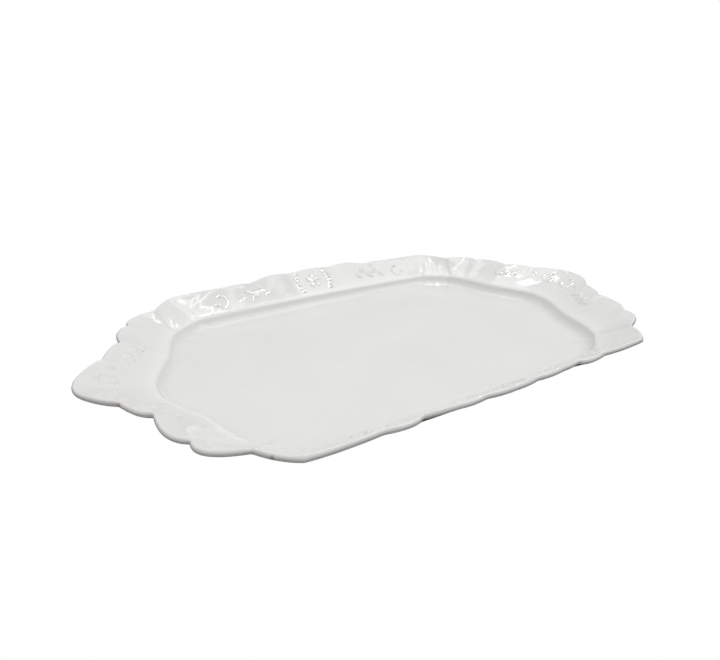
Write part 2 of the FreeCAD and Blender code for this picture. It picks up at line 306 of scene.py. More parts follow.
def finish_piece(
        piece: bpy.types.Object, material: bpy.types.Material, nodes: Sequence[str]) -> None:
    """Dress a finished piece, and say what it stands for.

    Args:
        piece: the object.
        material: what it is dressed in.
        nodes: the frame's nodes that it replaces.
    """
    piece.data.materials.clear()
    piece.data.materials.append(material)
    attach(piece, "root")
    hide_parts(*nodes)
    piece.data.calc_loop_triangles()
    log.info("%s: %d triangles, replaces %s", piece.name, len(piece.data.loop_triangles), ", ".join(nodes))


# ------------------------------------------------------------------ node trees

class TreeBuilder:
    """Lays out one node tree."""

    def __init__(self, tree: bpy.types.NodeTree) -> None:
        """Start with an empty tree."""
        self.tree = tree
        tree.nodes.clear()

    def node(self, kind: str, settings: Optional[Dict] = None, **inputs) -> bpy.types.Node:
        """Add a node.

        Args:
            kind: its type name.
            settings: its properties.
            inputs: values or sockets for its inputs, by name with _ for a space, or i0 and so on.

        Returns:
            The node.
        """
        made = self.tree.nodes.new(kind)
        for key, value in (settings or {}).items():
            setattr(made, key, value)
        for key, value in inputs.items():
            if key[0] == "i" and key[1:].isdigit():
                socket = made.inputs[int(key[1:])]
            else:
                socket = made.inputs[key.replace("_", " ")]
            if isinstance(value, bpy.types.NodeSocket):
                self.tree.links.new(value, socket)
            else:
                socket.default_value = value
        return made

    def math(self, operation: str, first, second=0.0, third=0.0, clamp: bool = False) -> bpy.types.NodeSocket:
        """Return the result of a sum on up to three values or sockets.

        Args:
            operation: which sum.
            first: a value or socket.
            second: the same.
            third: the same, for the sums that take three.
            clamp: whether the result is held between 0 and 1.

        Returns:
            The result's socket.
        """
        settings = {"operation": operation, "use_clamp": clamp}
        return self.node("ShaderNodeMath", settings, i0=first, i1=second, i2=third).outputs[0]

    def mix(self, share, first, second) -> bpy.types.NodeSocket:
        """Return two colours mixed."""
        made = self.node("ShaderNodeMix", {"data_type": "RGBA"}, i0=share, i6=first, i7=second)
        return made.outputs[2]

    def link(self, source: bpy.types.NodeSocket, target: bpy.types.NodeSocket) -> None:
        """Join two sockets."""
        self.tree.links.new(source, target)


def group_tree(name: str, kind: str, sockets: Sequence[Tuple[str, str, str, Optional[float]]]) -> TreeBuilder:
    """Return a builder for a new node group.

    Args:
        name: the group's name.
        kind: its tree type.
        sockets: for each socket its name, INPUT or OUTPUT, type and default.

    Returns:
        The builder.
    """
    tree = bpy.data.node_groups.new(name, kind)
    builder = TreeBuilder(tree)
    for label, direction, socket_type, default in sockets:
        made = tree.interface.new_socket(label, in_out=direction, socket_type=socket_type)
        if default is not None:
            made.default_value = default
    return builder


def set_inputs(owner: bpy.types.Object, tree: bpy.types.NodeTree, values: Dict[str, object]) -> None:
    """Put a geometry tree on an object and set its inputs.

    Args:
        owner: the object.
        tree: the geometry tree.
        values: value for each named input.
    """
    modifier = owner.modifiers.new(tree.name, "NODES")
    modifier.node_group = tree
    for item in tree.interface.items_tree:
        if item.item_type == "SOCKET" and item.in_out == "INPUT" and item.name in values:
            modifier[item.identifier] = values[item.name]


FLOAT = "NodeSocketFloat"
VECTOR = "NodeSocketVector"
COLOUR = "NodeSocketColor"


class SharedEffects:
    """Shader groups that more than one finish uses."""

    CLOUD_SHARE = 0.45     # how much of the thickness the broad clouds make up
    CLOUD_OFFSET = -0.05
    GRAIN_SHARE = 0.18     # and the fine grain
    GRAIN_SCALE = 260.0
    RAG_SCALE = 900.0

    def __init__(self) -> None:
        """Build each group once."""
        self.depth_and_shading = self._depth_and_shading()
        self.specks = self._specks()
        self.skin = self._skin()
        self.blot = self._blot()

    @staticmethod
    def _position(builder: TreeBuilder) -> bpy.types.NodeSocket:
        """Return the place on the object."""
        return builder.node("ShaderNodeTexCoord").outputs["Object"]

    def _depth_and_shading(self) -> bpy.types.NodeTree:
        """Return the group that varies a coat's colour at random where it runs thick or thin, and adds the
        painted shade and painted light that a piece stores.
        """
        b = group_tree("glaze_pooling", "ShaderNodeTree", (
            ("Thin", "INPUT", COLOUR, None), ("Thick", "INPUT", COLOUR, None),
            ("Cloud size", "INPUT", FLOAT, 14.0), ("Hollow", "INPUT", FLOAT, 0.0),
            ("Colour", "OUTPUT", COLOUR, None), ("Depth", "OUTPUT", FLOAT, None)))
        given = b.node("NodeGroupInput")
        place = self._position(b)
        cloud = b.node("ShaderNodeTexNoise", None, Vector=place, Scale=given.outputs["Cloud size"],
                       Detail=3.0, Roughness=0.55)
        fine = b.node("ShaderNodeTexNoise", None, Vector=place, Scale=self.GRAIN_SCALE, Detail=2.0)
        drift = b.math("MULTIPLY_ADD", cloud.outputs[0], self.CLOUD_SHARE, self.CLOUD_OFFSET)
        grain = b.math("MULTIPLY_ADD", fine.outputs[0], self.GRAIN_SHARE, drift)
        # painted shade and painted light from the piece are added to the random glaze depth here
        depth = b.math("ADD", grain, given.outputs["Hollow"], clamp=True)
        colour = b.mix(depth, given.outputs["Thin"], given.outputs["Thick"])
        result = b.node("NodeGroupOutput")
        b.link(colour, result.inputs["Colour"])
        b.link(depth, result.inputs["Depth"])
        return b.tree

    def _specks(self) -> bpy.types.NodeTree:
        """Return the group that scatters small dark specks."""
        b = group_tree("firing_specks", "ShaderNodeTree", (
            ("Spacing", "INPUT", FLOAT, 90.0), ("Size", "INPUT", FLOAT, 0.03),
            ("Share", "INPUT", FLOAT, 0.1), ("Mask", "OUTPUT", FLOAT, None)))
        given = b.node("NodeGroupInput")
        cells = b.node("ShaderNodeTexVoronoi", None, Vector=self._position(b), Scale=given.outputs["Spacing"])
        near = b.math("LESS_THAN", cells.outputs["Distance"], given.outputs["Size"])
        chance = b.node("ShaderNodeSeparateColor", None, Color=cells.outputs["Color"])
        chosen = b.math("LESS_THAN", chance.outputs[0], given.outputs["Share"])
        result = b.node("NodeGroupOutput")
        b.link(b.math("MULTIPLY", near, chosen), result.inputs["Mask"])
        return b.tree

    def _blot(self) -> bpy.types.NodeTree:
        """Return the group that masks one ragged spot on a surface."""
        b = group_tree("ragged_blot", "ShaderNodeTree", (
            ("Place", "INPUT", VECTOR, None), ("Radius", "INPUT", FLOAT, 0.001),
            ("Ragged", "INPUT", FLOAT, 0.0005), ("Softness", "INPUT", FLOAT, 0.0002),
            ("Mask", "OUTPUT", FLOAT, None)))
        given = b.node("NodeGroupInput")
        place = self._position(b)
        reach = b.node("ShaderNodeVectorMath", {"operation": "DISTANCE"}, i0=place, i1=given.outputs["Place"])
        rag = b.node("ShaderNodeTexNoise", None, Vector=place, Scale=self.RAG_SCALE, Detail=3.0)
        shift = b.math("MULTIPLY", b.math("SUBTRACT", rag.outputs[0], 0.5), given.outputs["Ragged"])
        inside = b.math("SUBTRACT", given.outputs["Radius"], b.math("ADD", reach.outputs["Value"], shift))
        mask = b.math("DIVIDE", inside, given.outputs["Softness"], clamp=True)
        result = b.node("NodeGroupOutput")
        b.link(mask, result.inputs["Mask"])
        return b.tree

    def _skin(self) -> bpy.types.NodeTree:
        """Return the group that gives a fired surface its fine unevenness, as a height."""
        b = group_tree("fired_skin", "ShaderNodeTree", (
            ("Wave size", "INPUT", FLOAT, 55.0), ("Pit size", "INPUT", FLOAT, 900.0),
            ("Pit share", "INPUT", FLOAT, 0.15), ("Height", "OUTPUT", FLOAT, None)))
        given = b.node("NodeGroupInput")
        place = self._position(b)
        wave = b.node("ShaderNodeTexNoise", None, Vector=place, Scale=given.outputs["Wave size"], Detail=1.0)
        pits = b.node("ShaderNodeTexNoise", None, Vector=place, Scale=given.outputs["Pit size"], Detail=3.0)
        height = b.math("MULTIPLY_ADD", pits.outputs[0], given.outputs["Pit share"], wave.outputs[0])
        result = b.node("NodeGroupOutput")
        b.link(height, result.inputs["Height"])
        return b.tree


def use_group(b: TreeBuilder, group: bpy.types.NodeTree, **inputs) -> bpy.types.Node:
    """Return a node that holds a shader group, with its inputs set."""
    return b.node("ShaderNodeGroup", {"node_tree": group}, **inputs)


def new_material(name: str) -> Tuple[bpy.types.Material, TreeBuilder]:
    """Return a new material and a builder for its tree."""
    made = bpy.data.materials.new(name)
    made.use_nodes = True
    return made, TreeBuilder(made.node_tree)


def end_material(b: TreeBuilder, colour: bpy.types.NodeSocket, rough: bpy.types.NodeSocket,
                 bump: bpy.types.Node, ior: float) -> None:
    """Join a finish's colour, roughness and bump to a surface shader, and the shader to the material.

    Args:
        b: the material's builder.
        colour: its colour.
        rough: its roughness.
        bump: the node of its fine unevenness.
        ior: its refractive index.
    """
    shader = b.node("ShaderNodeBsdfPrincipled", None, Base_Color=colour, Roughness=rough,
                    Normal=bump.outputs[0], IOR=ior)
    result = b.node("ShaderNodeOutputMaterial")
    b.link(shader.outputs[0], result.inputs["Surface"])


Colour = Tuple[float, float, float, float]


@dataclass(frozen=True)
class Blot:
    """One spot on the glaze, in millimetres."""

    place: Place
    radius: float
    colour: Colour
    strength: float        # 1 hides the glaze
    ragged: float = 0.8
    softness: float = 0.3
    matt: float = 0.0      # added to the roughness


BARE = (0.42, 0.27, 0.17, 1.0)
IRON = (0.33, 0.24, 0.17, 1.0)
TEA = (0.72, 0.62, 0.48, 1.0)
# Two chips in the edge are spots of the clay's colour: the coat itself is whole.
CHIPS = (
    Blot((-181.2, -30.4, 26.8), 1.9, BARE, 0.62, 1.4, 0.6, 0.4),
    Blot((-131.4, -108.6, 25.5), 1.6, BARE, 0.60, 1.4, 0.6, 0.4),
)
SPOTS = (
    Blot((-144.5, -2.1, 8.0), 0.9, IRON, 0.45),
    Blot((119.2, -83.2, 10.0), 2.4, TEA, 0.35, 2.6, 2.0),
    Blot((133.7, -68.7, 13.0), 2.6, TEA, 0.30, 2.6, 2.2),
    Blot((113.3, -87.8, 10.0), 1.0, IRON, 0.40),
)


@dataclass(frozen=True)
class GlazeFinish:
    """White glossy glaze, with the colour deeper at random where it runs thick, and with painted shade and
    painted light where the piece stores them.
    """

    name: str
    thin: Colour = (0.845, 0.840, 0.828, 1.0)
    thick: Colour = (0.650, 0.650, 0.640, 1.0)
    speck: Colour = IRON
    roughness: float = 0.045
    rough_spread: float = 0.06
    waviness: float = 0.00002
    cloud_size: float = 14.0
    speck_spacing: float = 120.0
    speck_size: float = 0.035
    speck_share: float = 0.02
    speck_strength: float = 0.55
    ior: float = 1.52
    blots: Tuple[Blot, ...] = ()

    def material(self, effects: SharedEffects, has_painted_shading: bool = False) -> bpy.types.Material:
        """Return the material.

        Args:
            effects: the shared shader groups.
            has_painted_shading: whether the piece stores painted shade and painted light on its points.

        Returns:
            The material.
        """
        made, b = new_material(self.name)
        # painted shade and painted light, stored on the points, push the colour towards the thick or the thin
        # colour
        hollow: object = 0.0
        if has_painted_shading:
            hollow = b.node("ShaderNodeAttribute", {"attribute_name": "hollow"}).outputs["Fac"]
        toned = use_group(b, effects.depth_and_shading, Thin=self.thin, Thick=self.thick,
                           Cloud_size=self.cloud_size, Hollow=hollow)
        specks = use_group(b, effects.specks, Spacing=self.speck_spacing, Size=self.speck_size,
                           Share=self.speck_share)
        dark = b.math("MULTIPLY", specks.outputs["Mask"], self.speck_strength)
        colour = b.mix(dark, toned.outputs["Colour"], self.speck)
        rough = b.math("MULTIPLY_ADD", toned.outputs["Depth"], self.rough_spread, self.roughness)
        for blot in self.blots:
            spot = use_group(b, effects.blot, Place=tuple(part * METRE for part in blot.place),
                             Radius=blot.radius * METRE, Ragged=blot.ragged * METRE,
                             Softness=blot.softness * METRE).outputs["Mask"]
            colour = b.mix(b.math("MULTIPLY", spot, blot.strength), colour, blot.colour)
            if blot.matt:
                rough = b.math("MULTIPLY_ADD", spot, blot.matt, rough)
        skin = use_group(b, effects.skin, Wave_size=48.0, Pit_size=700.0, Pit_share=0.04)
        bump = b.node("ShaderNodeBump", None, Strength=1.0, Distance=self.waviness,
                      Height=skin.outputs["Height"])
        end_material(b, colour, rough, bump, self.ior)
        return made


@dataclass(frozen=True)
class ClayFinish:
    """Bare fired clay, matt and grainy, with grime in its pits."""

    name: str
    body: Colour
    grime: Colour
    roughness: float = 0.75
    rough_spread: float = 0.15
    grain: float = 0.00012
    speck_strength: float = 0.6
    ior: float = 1.5

    def material(self, effects: SharedEffects) -> bpy.types.Material:
        """Return the material."""
        made, b = new_material(self.name)
        toned = use_group(b, effects.depth_and_shading, Thin=self.body, Thick=self.grime, Cloud_size=60.0)
        specks = use_group(b, effects.specks, Spacing=420.0, Size=0.12, Share=0.25)
        dark = b.math("MULTIPLY", specks.outputs["Mask"], self.speck_strength)
        colour = b.mix(dark, toned.outputs["Colour"], self.grime)
        skin = use_group(b, effects.skin, Wave_size=300.0, Pit_size=1800.0, Pit_share=0.7)
        bump = b.node("ShaderNodeBump", None, Strength=0.9, Distance=self.grain,
                      Height=skin.outputs["Height"])
        rough = b.math("MULTIPLY_ADD", toned.outputs["Depth"], self.rough_spread, self.roughness)
        end_material(b, colour, rough, bump, self.ior)
        return made


FACE_GLAZE = GlazeFinish("white_glaze_face", blots=CHIPS + SPOTS)
BACK_GLAZE = GlazeFinish("white_glaze_back", cloud_size=22.0, speck_share=0.05, blots=CHIPS)
RELIEF_GLAZE = GlazeFinish("white_glaze_relief")
CORE_CLAY = ClayFinish("fired_clay_core", (0.40, 0.25, 0.16, 1.0), (0.22, 0.13, 0.08, 1.0))
FOOT_CLAY = ClayFinish("bare_foot_clay", (0.66, 0.58, 0.47, 1.0), (0.36, 0.29, 0.21, 1.0))


# ------------------------------------------------------------------ plan and section

@dataclass
class PlatterPlan:
    """The outline of the rim and of the foot of the flange, sampled all round."""

    length: float = 400.0
    width: float = 250.0
    end_flange: float = 43.0
    side_flange: float = 27.0
    around: int = 960
    stretch_samples: int = 240
    loop_samples: int = 8192
    rim_softness: float = 0.65
    well_softness: float = 2.2
    floor_softness: float = 7.0
    lift_softness: float = 2.4
    detail_softness: float = 0.4
    well_bow: float = 0.2
    notch_width: float = 1.7
    valley_width: float = 2.8
    seed: int = 11
    edge_wander: float = 0.12
    wander_softness: float = 5.0
    crease_density: float = 1.3   # extra points of the mesh at a crease
    chip_density: float = 4.0     # and at a chip
    chip_reach: float = 4.0
    fields: Dict[str, Array] = field(default_factory=dict)

    def __post_init__(self) -> None:
        """Sample the plan."""
        self.half_rim = np.array([self.length / 2, self.width / 2])
        self.half_well = self.half_rim - np.array([self.end_flange, self.side_flange])
        self._sample()

    def _bowed(self, start: Plan, end: Plan, half: Array, bow: float, lean: float, t: Array) -> Array:
        """Return points along a bowed stretch.

        Args:
            start: its first end, as shares of the half sizes.
            end: its last end, the same.
            half: half the length and half the width.
            bow: how far it bows out.
            lean: where the bow is, as a share of the chord.
            t: places along it, from 0 to 1.

        Returns:
            The points in plan.
        """
        first = np.array(start) * half
        last = np.array(end) * half
        chord = last - first
        out = np.array([chord[1], -chord[0]]) / np.linalg.norm(chord)
        middle = (first + last) / 2
        if out @ middle < 0:
            out = -out
        pole = middle + 2 * (out * bow + chord * lean)
        t = t[:, None]
        return (1 - t) ** 2 * first + 2 * t * (1 - t) * pole + t * t * last

    def _quarter(self, samples: int) -> Dict[str, Array]:
        """Return finely sampled fields along one quarter, from the tip to the long side.

        Args:
            samples: number of samples in each stretch.

        Returns:
            The fields by name.
        """
        t = np.arange(samples) / samples
        keys = ("rim", "well", "lift", "petal", "phase", "fluted")
        rows: Dict[str, List[Array]] = {key: [] for key in keys}
        for index, stretch in enumerate(STRETCHES):
            start = STATIONS[index]
            end = STATIONS[index + 1]
            rows["rim"].append(self._bowed(start.rim, end.rim, self.half_rim, stretch.bow, stretch.lean, t))
            rows["well"].append(self._bowed(start.well, end.well, self.half_well, self.well_bow, 0.0, t))
            rows["lift"].append(start.lift + (end.lift - start.lift) * t)
            rows["petal"].append(stretch.puff * (1 - np.abs(2 * t - 1) ** 2.4))
            rows["phase"].append(t * max(stretch.flutes, 1))
            window = smoothstep(0.0, 0.1, t) * (1 - smoothstep(0.9, 1.0, t))
            rows["fluted"].append(window if stretch.flutes else 0 * t)
        fields = {key: np.concatenate(value) for key, value in rows.items()}
        steps = np.linalg.norm(np.diff(fields["rim"], axis=0), axis=1)
        walked = np.concatenate([[0.0], np.cumsum(steps)])
        notch = np.zeros(len(walked))
        valley = np.zeros(len(walked))
        for index, station in enumerate(STATIONS):
            place = walked[min(index * samples, len(walked) - 1)]
            notch += station.notch * np.exp(-((walked - place) / self.notch_width) ** 2)
            valley += station.valley * np.exp(-((walked - place) / self.valley_width) ** 2)
        fields["notch"] = notch
        fields["valley"] = valley
        return fields

    def _sample(self) -> None:
        """Join the quarters, soften the corners and pick the stations of the mesh."""
        quarter = self._quarter(self.stretch_samples)
        loop: Dict[str, List[Array]] = {key: [] for key in quarter}
        for number, place in enumerate(Quarter):
            signs = np.array(place.value)
            for key, values in quarter.items():
                turned = values if number % 2 == 0 else values[::-1]
                loop[key].append(turned * signs if values.ndim == 2 else turned)
        fine = {key: np.concatenate(value) for key, value in loop.items()}
        closed = np.vstack([fine["rim"], fine["rim"][:1]])
        walked = np.concatenate([[0.0], np.cumsum(np.linalg.norm(np.diff(closed, axis=0), axis=1))])
        perimeter = walked[-1]
        count = self.loop_samples
        even = np.arange(count) / count * perimeter
        spacing = perimeter / count

        def evenly(values: Array, softness: float) -> Array:
            """Return a field evenly spaced round the rim and smoothed."""
            if values.ndim == 2:
                return np.stack([evenly(values[:, axis], softness) for axis in range(2)], axis=1)
            looped = np.interp(even, walked, np.append(values, values[0]))
            return soft_loop(looped, softness / spacing)

        smooth = {
            "rim": evenly(fine["rim"], self.rim_softness),
            "well": evenly(fine["well"], self.well_softness),
            "floor": evenly(fine["well"], self.floor_softness),
            "lift": evenly(fine["lift"], self.lift_softness),
        }
        for key in ("petal", "notch", "valley", "fluted"):
            smooth[key] = evenly(fine[key], self.detail_softness)
        waves = np.cos(2 * math.pi * np.interp(even, walked, np.append(fine["phase"], 0.0)))
        smooth["wave"] = soft_loop(0.5 - 0.5 * waves, self.detail_softness / spacing)
        draw = np.random.default_rng(self.seed)
        wander = [soft_loop(draw.standard_normal(count), self.wander_softness / spacing) for _ in range(2)]
        wander = [one / np.abs(one).max() for one in wander]
        inward = -smooth["rim"] / np.linalg.norm(smooth["rim"], axis=1)[:, None]
        smooth["rim"] += inward * (self.edge_wander * (1 + wander[0]))[:, None]
        smooth["lift"] += self.edge_wander * (wander[1] - 1)
        density = 1.0 + self.crease_density * np.clip(smooth["notch"] + np.abs(smooth["valley"]), 0, 1)
        for chip in CHIPS:
            gap = np.linalg.norm(smooth["rim"] - np.array(chip.place[:2]), axis=1)
            density += self.chip_density * np.exp(-(gap / self.chip_reach) ** 2)
        climbed = np.concatenate([[0.0], np.cumsum(density)])
        picks = np.interp(np.arange(self.around) / self.around * climbed[-1], climbed, np.arange(count + 1))

        def picked(values: Array) -> Array:
            """Return a field at the stations of the mesh."""
            if values.ndim == 2:
                return np.stack([picked(values[:, axis]) for axis in range(2)], axis=1)
            return np.interp(picks, np.arange(count + 1), np.append(values, values[0]))

        self.fields = {key: picked(value) for key, value in smooth.items()}

    def place(self, station: float, share: float) -> Array:
        """Return the place at a station of the back right quarter and a share of the flange.

        Args:
            station: number of the station, with a fraction between two.
            share: 0 at the foot of the flange and 1 at the rim.

        Returns:
            The place in plan.
        """
        index = min(int(station), MIDDLE - 1)
        part = station - index
        rim = np.array(STATIONS[index].rim) * (1 - part) + np.array(STATIONS[index + 1].rim) * part
        well = np.array(STATIONS[index].well) * (1 - part) + np.array(STATIONS[index + 1].well) * part
        return well * self.half_well * (1 - share) + rim * self.half_rim * share


@dataclass
class Curve2D:
    """Rings of a section: distance out from the foot of the flange, height and flange share."""

    run: Array
    rise: Array
    share: Array


@dataclass
class WallSection:
    """The section through floor, cove, wall, flange, lip and underside.

    A pair is a distance out from the foot of the flange and a height, over the well's floor on the upper
    side and over the foot's top on the underside.
    """

    foot_height: float = 2.5
    floor_thickness: float = 4.5
    well_depth: float = 22.0
    shoulder_drop: float = 13.3
    lip_thickness: float = 3.8
    lip_rounding: float = 1.9
    flange_thickness: float = 4.6
    flange_sag: float = 0.22
    shoulder_run: float = 3.0    # where the straight flange, drawn on, has the shoulder's height
    shoulder_end: float = 4.1    # where the straight flange begins
    lip_run: float = 3.7         # and how far in from the edge it ends
    crest_run: float = 1.55      # the lip's highest line, in from the edge
    cove: Tuple[Plan, ...] = ((-9.4, 0.0), (-4.6, 0.0), (-1.75, 2.0), (-0.5, 4.7))
    wall: Tuple[Plan, ...] = ((-0.5, 4.7), (-0.2, 5.38), (0.1, 6.05), (0.35, 6.6))
    shoulder: Tuple[Plan, ...] = ((0.35, 6.6), (0.88, 7.8))
    under_run: float = 2.4       # where the straight underside ends, in from the edge
    under_steps: int = 14
    under_start: float = 6.0
    under_bend: Tuple[Plan, ...] = ((1.2, 6.7), (-1.4, 3.9))
    under_cove: Tuple[Plan, ...] = ((-1.4, 3.9), (-3.4, 1.8), (-5.2, 0.0), (-7.4, 0.0))
    bend_steps: int = 6
    cove_steps: int = 14
    wall_steps: int = 4
    shoulder_steps: int = 10
    flange_steps: int = 26
    lip_steps: int = 7

    @property
    def rim_height(self) -> float:
        """Return the height of the mean lip over the table."""
        return self.foot_height + self.floor_thickness + self.well_depth

    @property
    def floor_height(self) -> float:
        """Return the height of the well's floor over the table."""
        return self.foot_height + self.floor_thickness

    @staticmethod
    def _over(pairs: Sequence[Plan], base: float, width: Array) -> List[Tuple[Array, Array]]:
        """Return pairs of distance and height over a base, one array of each for all stations."""
        return [(np.full(len(width), run), np.full(len(width), base + rise)) for run, rise in pairs]

    def face(self, width: Array, lift: Array) -> Curve2D:
        """Return the upper side, from the edge of the floor out to the edge of the lip.

        Args:
            width: width of the flange at each station.
            lift: height of the lip over its mean at each station.

        Returns:
            The section at every station.
        """
        lip = self.rim_height + lift
        shoulder = self.rim_height - self.shoulder_drop
        slope = (lip - shoulder) / (width - self.lip_rounding - self.shoulder_run)
        size = np.sqrt(1 + slope * slope)
        along = (1 / size, slope / size)

        def on_flange(run: Array) -> Array:
            """Return the height of the straight flange at a distance out."""
            return shoulder + slope * (run - self.shoulder_run)

        points = cubic(self._over(self.cove, self.floor_height, width), self.cove_steps)
        points += cubic(self._over(self.wall, self.floor_height, width), self.wall_steps)
        start = np.full(len(width), self.shoulder_end)
        points += cubic(self._over(self.shoulder, self.floor_height, width)
                        + [(start - along[0] * 1.5, on_flange(start) - along[1] * 1.5),
                           (start, on_flange(start))], self.shoulder_steps)
        end = width - self.lip_run
        for step in range(self.flange_steps):
            t = step / self.flange_steps
            run = start + (end - start) * t
            points.append((run, on_flange(run) - self.flange_sag * math.sin(math.pi * t)))
        crest = width - self.crest_run
        points += cubic([(end, on_flange(end)), (end + along[0] * 1.0, on_flange(end) + along[1] * 1.0),
                         (crest - 0.8, lip), (crest, lip)], self.lip_steps)
        points += cubic([(crest, lip), (crest + 0.85, lip), (width, lip - 0.95),
                         (width, lip - self.lip_thickness / 2)], self.lip_steps, last=True)
        run = np.array([point[0] for point in points])
        rise = np.array([point[1] for point in points])
        return Curve2D(run, rise, np.clip(run / width, 0, 1))

    def back(self, width: Array, lift: Array, setback: float) -> Curve2D:
        """Return the underside, from the edge of the lip in to the foot ring.

        Args:
            width: width of the flange at each station.
            lift: height of the lip over its mean at each station.
            setback: how far the foot ring stands in from the foot of the flange.

        Returns:
            The section at every station.
        """
        lip = self.rim_height + lift
        under = lip - self.lip_thickness
        bend = self.rim_height - self.shoulder_drop - self.flange_thickness
        slope = (under - bend) / (width - self.lip_rounding - self.shoulder_run)
        size = np.sqrt(1 + slope * slope)
        along = (1 / size, slope / size)
        end = width - self.under_run

        def on_under(run: Array) -> Array:
            """Return the height of the straight underside at a distance out."""
            return bend + slope * (run - self.shoulder_run)

        points = cubic([(width, lip - self.lip_thickness / 2), (width, lip - 3.2),
                        (end + along[0] * 1.2, on_under(end) + along[1] * 1.2),
                        (end, on_under(end))], self.lip_steps + 3)
        inner = np.full(len(width), self.under_start)
        for step in range(self.under_steps):
            run = end + (inner - end) * step / self.under_steps
            points.append((run, on_under(run)))
        points += cubic([(inner, on_under(inner)), (inner - along[0] * 3.5, on_under(inner) - along[1] * 3.5)]
                        + self._over(self.under_bend, self.foot_height, width), self.bend_steps)
        points += cubic(self._over(self.under_cove, self.foot_height, width), self.bend_steps, last=True)
        points += self._over([(-setback, 0.0)], self.foot_height, width)
        run = np.array([point[0] for point in points])
        rise = np.array([point[1] for point in points])
        return Curve2D(run, rise, np.clip(run / width, 0, 1))


ROUNDING_RUN = 9.0  # over this distance inwards the rings take the floor's rounder outline


def ring_places(plan: PlatterPlan, curve: Curve2D) -> Array:
    """Return the points of a section swept round the plan.

    Args:
        plan: the plan.
        curve: the section.

    Returns:
        The points as rings by stations by XYZ.
    """
    rim = plan.fields["rim"]
    well = plan.fields["well"]
    rounder = plan.fields["floor"]
    width = np.linalg.norm(rim - well, axis=1)
    made = np.empty(curve.run.shape + (3,))
    for ring, (run, rise) in enumerate(zip(curve.run, curve.rise)):
        inside = np.clip(-run, 0, None)[:, None]
        scale = 1 - inside / plan.half_well
        blend = np.clip(inside / ROUNDING_RUN, 0, 1)
        inner = (well * (1 - blend) + rounder * blend) * scale
        outer = well + (rim - well) * (np.clip(run, 0, None) / width)[:, None]
        made[ring, :, :2] = np.where(run[:, None] < 0, inner, outer)
        made[ring, :, 2] = rise
    return made


def grid_normals(grid: Array) -> Array:
    """Return the unit normals of a grid of rings that is closed all round."""
    along = np.roll(grid, -1, axis=1) - np.roll(grid, 1, axis=1)
    across = np.gradient(grid, axis=0)
    normals = np.cross(across, along)
    return normals / np.linalg.norm(normals, axis=2)[:, :, None]


def inset(grid: Array, depth: float, step: int) -> Array:
    """Return a grid of rings moved in along its normals, with fewer rings.

    Args:
        grid: the rings.
        depth: how far they move.
        step: every step-th ring is kept, and the last one.

    Returns:
        The moved rings.
    """
    picks = sorted(set(range(0, grid.shape[0], step)) | {grid.shape[0] - 1})
    return (grid - grid_normals(grid) * depth)[picks]


# ------------------------------------------------------------------ geometry trees

GEOMETRY = "NodeSocketGeometry"
MATERIAL = "NodeSocketMaterial"
OBJECT = "NodeSocketObject"


